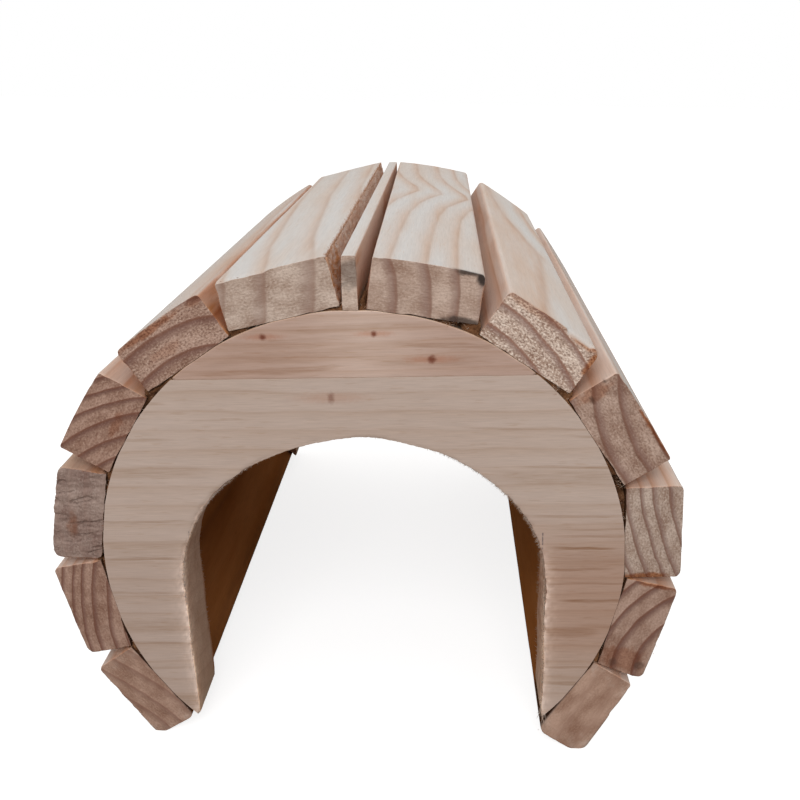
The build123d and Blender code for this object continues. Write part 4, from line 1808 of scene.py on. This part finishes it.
# ---- studio -----------------------------------------------------------------------------
@dataclass(frozen=True)
class Softbox:
    """A square lamp: where it hangs, what it points at, its side and its power in watts."""

    name: str
    place: Point
    target: Point
    size: float
    power: float

    def hang(self) -> None:
        """Add the lamp and aim it."""
        data = bpy.data.lights.new(self.name, "AREA")
        data.shape = "SQUARE"
        data.size = self.size * MM
        data.energy = self.power
        lamp = bpy.data.objects.new(self.name, data)
        lamp.location = Vector(self.place) * MM
        aim = (Vector(self.target) - Vector(self.place)).to_track_quat("-Z", "Y")
        lamp.rotation_euler = aim.to_euler()
        bpy.context.scene.collection.objects.link(lamp)


@dataclass(frozen=True)
class Studio:
    """Pale floor, soft lamps and the camera."""

    focal: float = 939.89
    image: float = 800.0
    pitch: float = 20.291
    yaw: float = -2.298
    roll: float = 0.868
    eye: Point = (15.69, -277.31, 160.24)
    floor_size: float = 6000.0
    lamps: tuple[Softbox, ...] = (
        Softbox("overhead softbox", (-30, 60, 620), (0, -10, 60), 700, 0.95),
        Softbox("front key", (-60, -760, 560), (0, -40, 60), 500, 3.6))

    def build(self) -> None:
        """Set the colours' view, the world, the floor, the lamps and the camera."""
        bpy.context.scene.view_settings.view_transform = "Standard"
        self._world()
        self._floor()
        for lamp in self.lamps:
            lamp.hang()
        self._camera()

    def _world(self) -> None:
        """White behind everything, and an even soft light for the object."""
        world = bpy.data.worlds.new("studio")
        bpy.context.scene.world = world
        nodes = Nodes(world)
        soft = nodes.add("Background", {"Color": linear("#f4f1ee"), "Strength": 0.6})
        white = nodes.add("Background", {"Color": (1, 1, 1, 1), "Strength": 1.0})
        both = nodes.add("MixShader", {0: self._looked_at(nodes), 1: soft, 2: white})
        nodes.add("OutputWorld", {"Surface": both})

    @staticmethod
    def _looked_at(nodes: Nodes) -> Node:
        """Add nodes that give 1 to the camera, a reflection or a view through glass."""
        path = nodes.add("LightPath").outputs
        seen = nodes.add("Math", {0: path["Is Camera Ray"], 1: path["Is Glossy Ray"]},
                         operation="MAXIMUM")
        return nodes.add("Math", {0: seen, 1: path["Is Transmission Ray"]}, operation="MAXIMUM")

    def _floor(self) -> None:
        """A floor that looks white with a light shadow and bounces little into the house."""
        half = self.floor_size * MM / 2
        mesh = bpy.data.meshes.new("floor")
        mesh.from_pydata([(-half, -half, 0), (half, -half, 0), (half, half, 0), (-half, half, 0)],
                         [], [(0, 1, 2, 3)])
        card = bpy.data.materials.new("white card")
        nodes = Nodes(card)
        # To the camera it is half grey card and half glow, so that it is white but takes a shadow.
        matt = nodes.add("BsdfDiffuse", {"Color": (0.5, 0.5, 0.5, 1)})
        glow = nodes.add("Emission", {"Color": (1, 1, 1, 1), "Strength": 0.8})
        shown = nodes.add("AddShader", {0: matt, 1: glow})
        hidden = nodes.add("BsdfDiffuse", {"Color": linear("#7a6a5c")})
        both = nodes.add("MixShader", {0: self._looked_at(nodes), 1: hidden, 2: shown})
        nodes.add("OutputMaterial", {"Surface": both})
        mesh.materials.append(card)
        floor = bpy.data.objects.new("floor", mesh)
        bpy.context.scene.collection.objects.link(floor)

    def _camera(self) -> None:
        """Place the camera in front of the entrance, a little above it."""
        pitch, yaw, roll = (math.radians(v) for v in (self.pitch, self.yaw, self.roll))
        ahead = Vector((math.sin(yaw) * math.cos(pitch), math.cos(yaw) * math.cos(pitch),
                        -math.sin(pitch)))
        right = ahead.cross(Vector((0, 0, 1))).normalized()
        up = right.cross(ahead)
        right, up = (math.cos(roll) * right + math.sin(roll) * up,
                     math.cos(roll) * up - math.sin(roll) * right)
        data = bpy.data.cameras.new("camera")
        data.sensor_width = 36.0
        data.lens = self.focal / self.image * data.sensor_width
        data.clip_start = 0.005
        camera = bpy.data.objects.new("camera", data)
        turn = Matrix((right, up, -ahead)).transposed().to_4x4()
        camera.matrix_world = Matrix.Translation(Vector(self.eye) * MM) @ turn
        bpy.context.scene.collection.objects.link(camera)
        bpy.context.scene.camera = camera


def main() -> None:
    """Build the studio and every piece, and write down how large the result is."""
    logging.basicConfig(level=logging.INFO, format="%(message)s")
    Studio().build()
    for seed, part in enumerate(LATHS + ARCH_BOARDS + GLUE_SEAMS):
        made = part.build(seed)
        LOG.info("%s: %d faces", made.name, len(made.data.polygons))


if __name__ == "__main__":
    main()
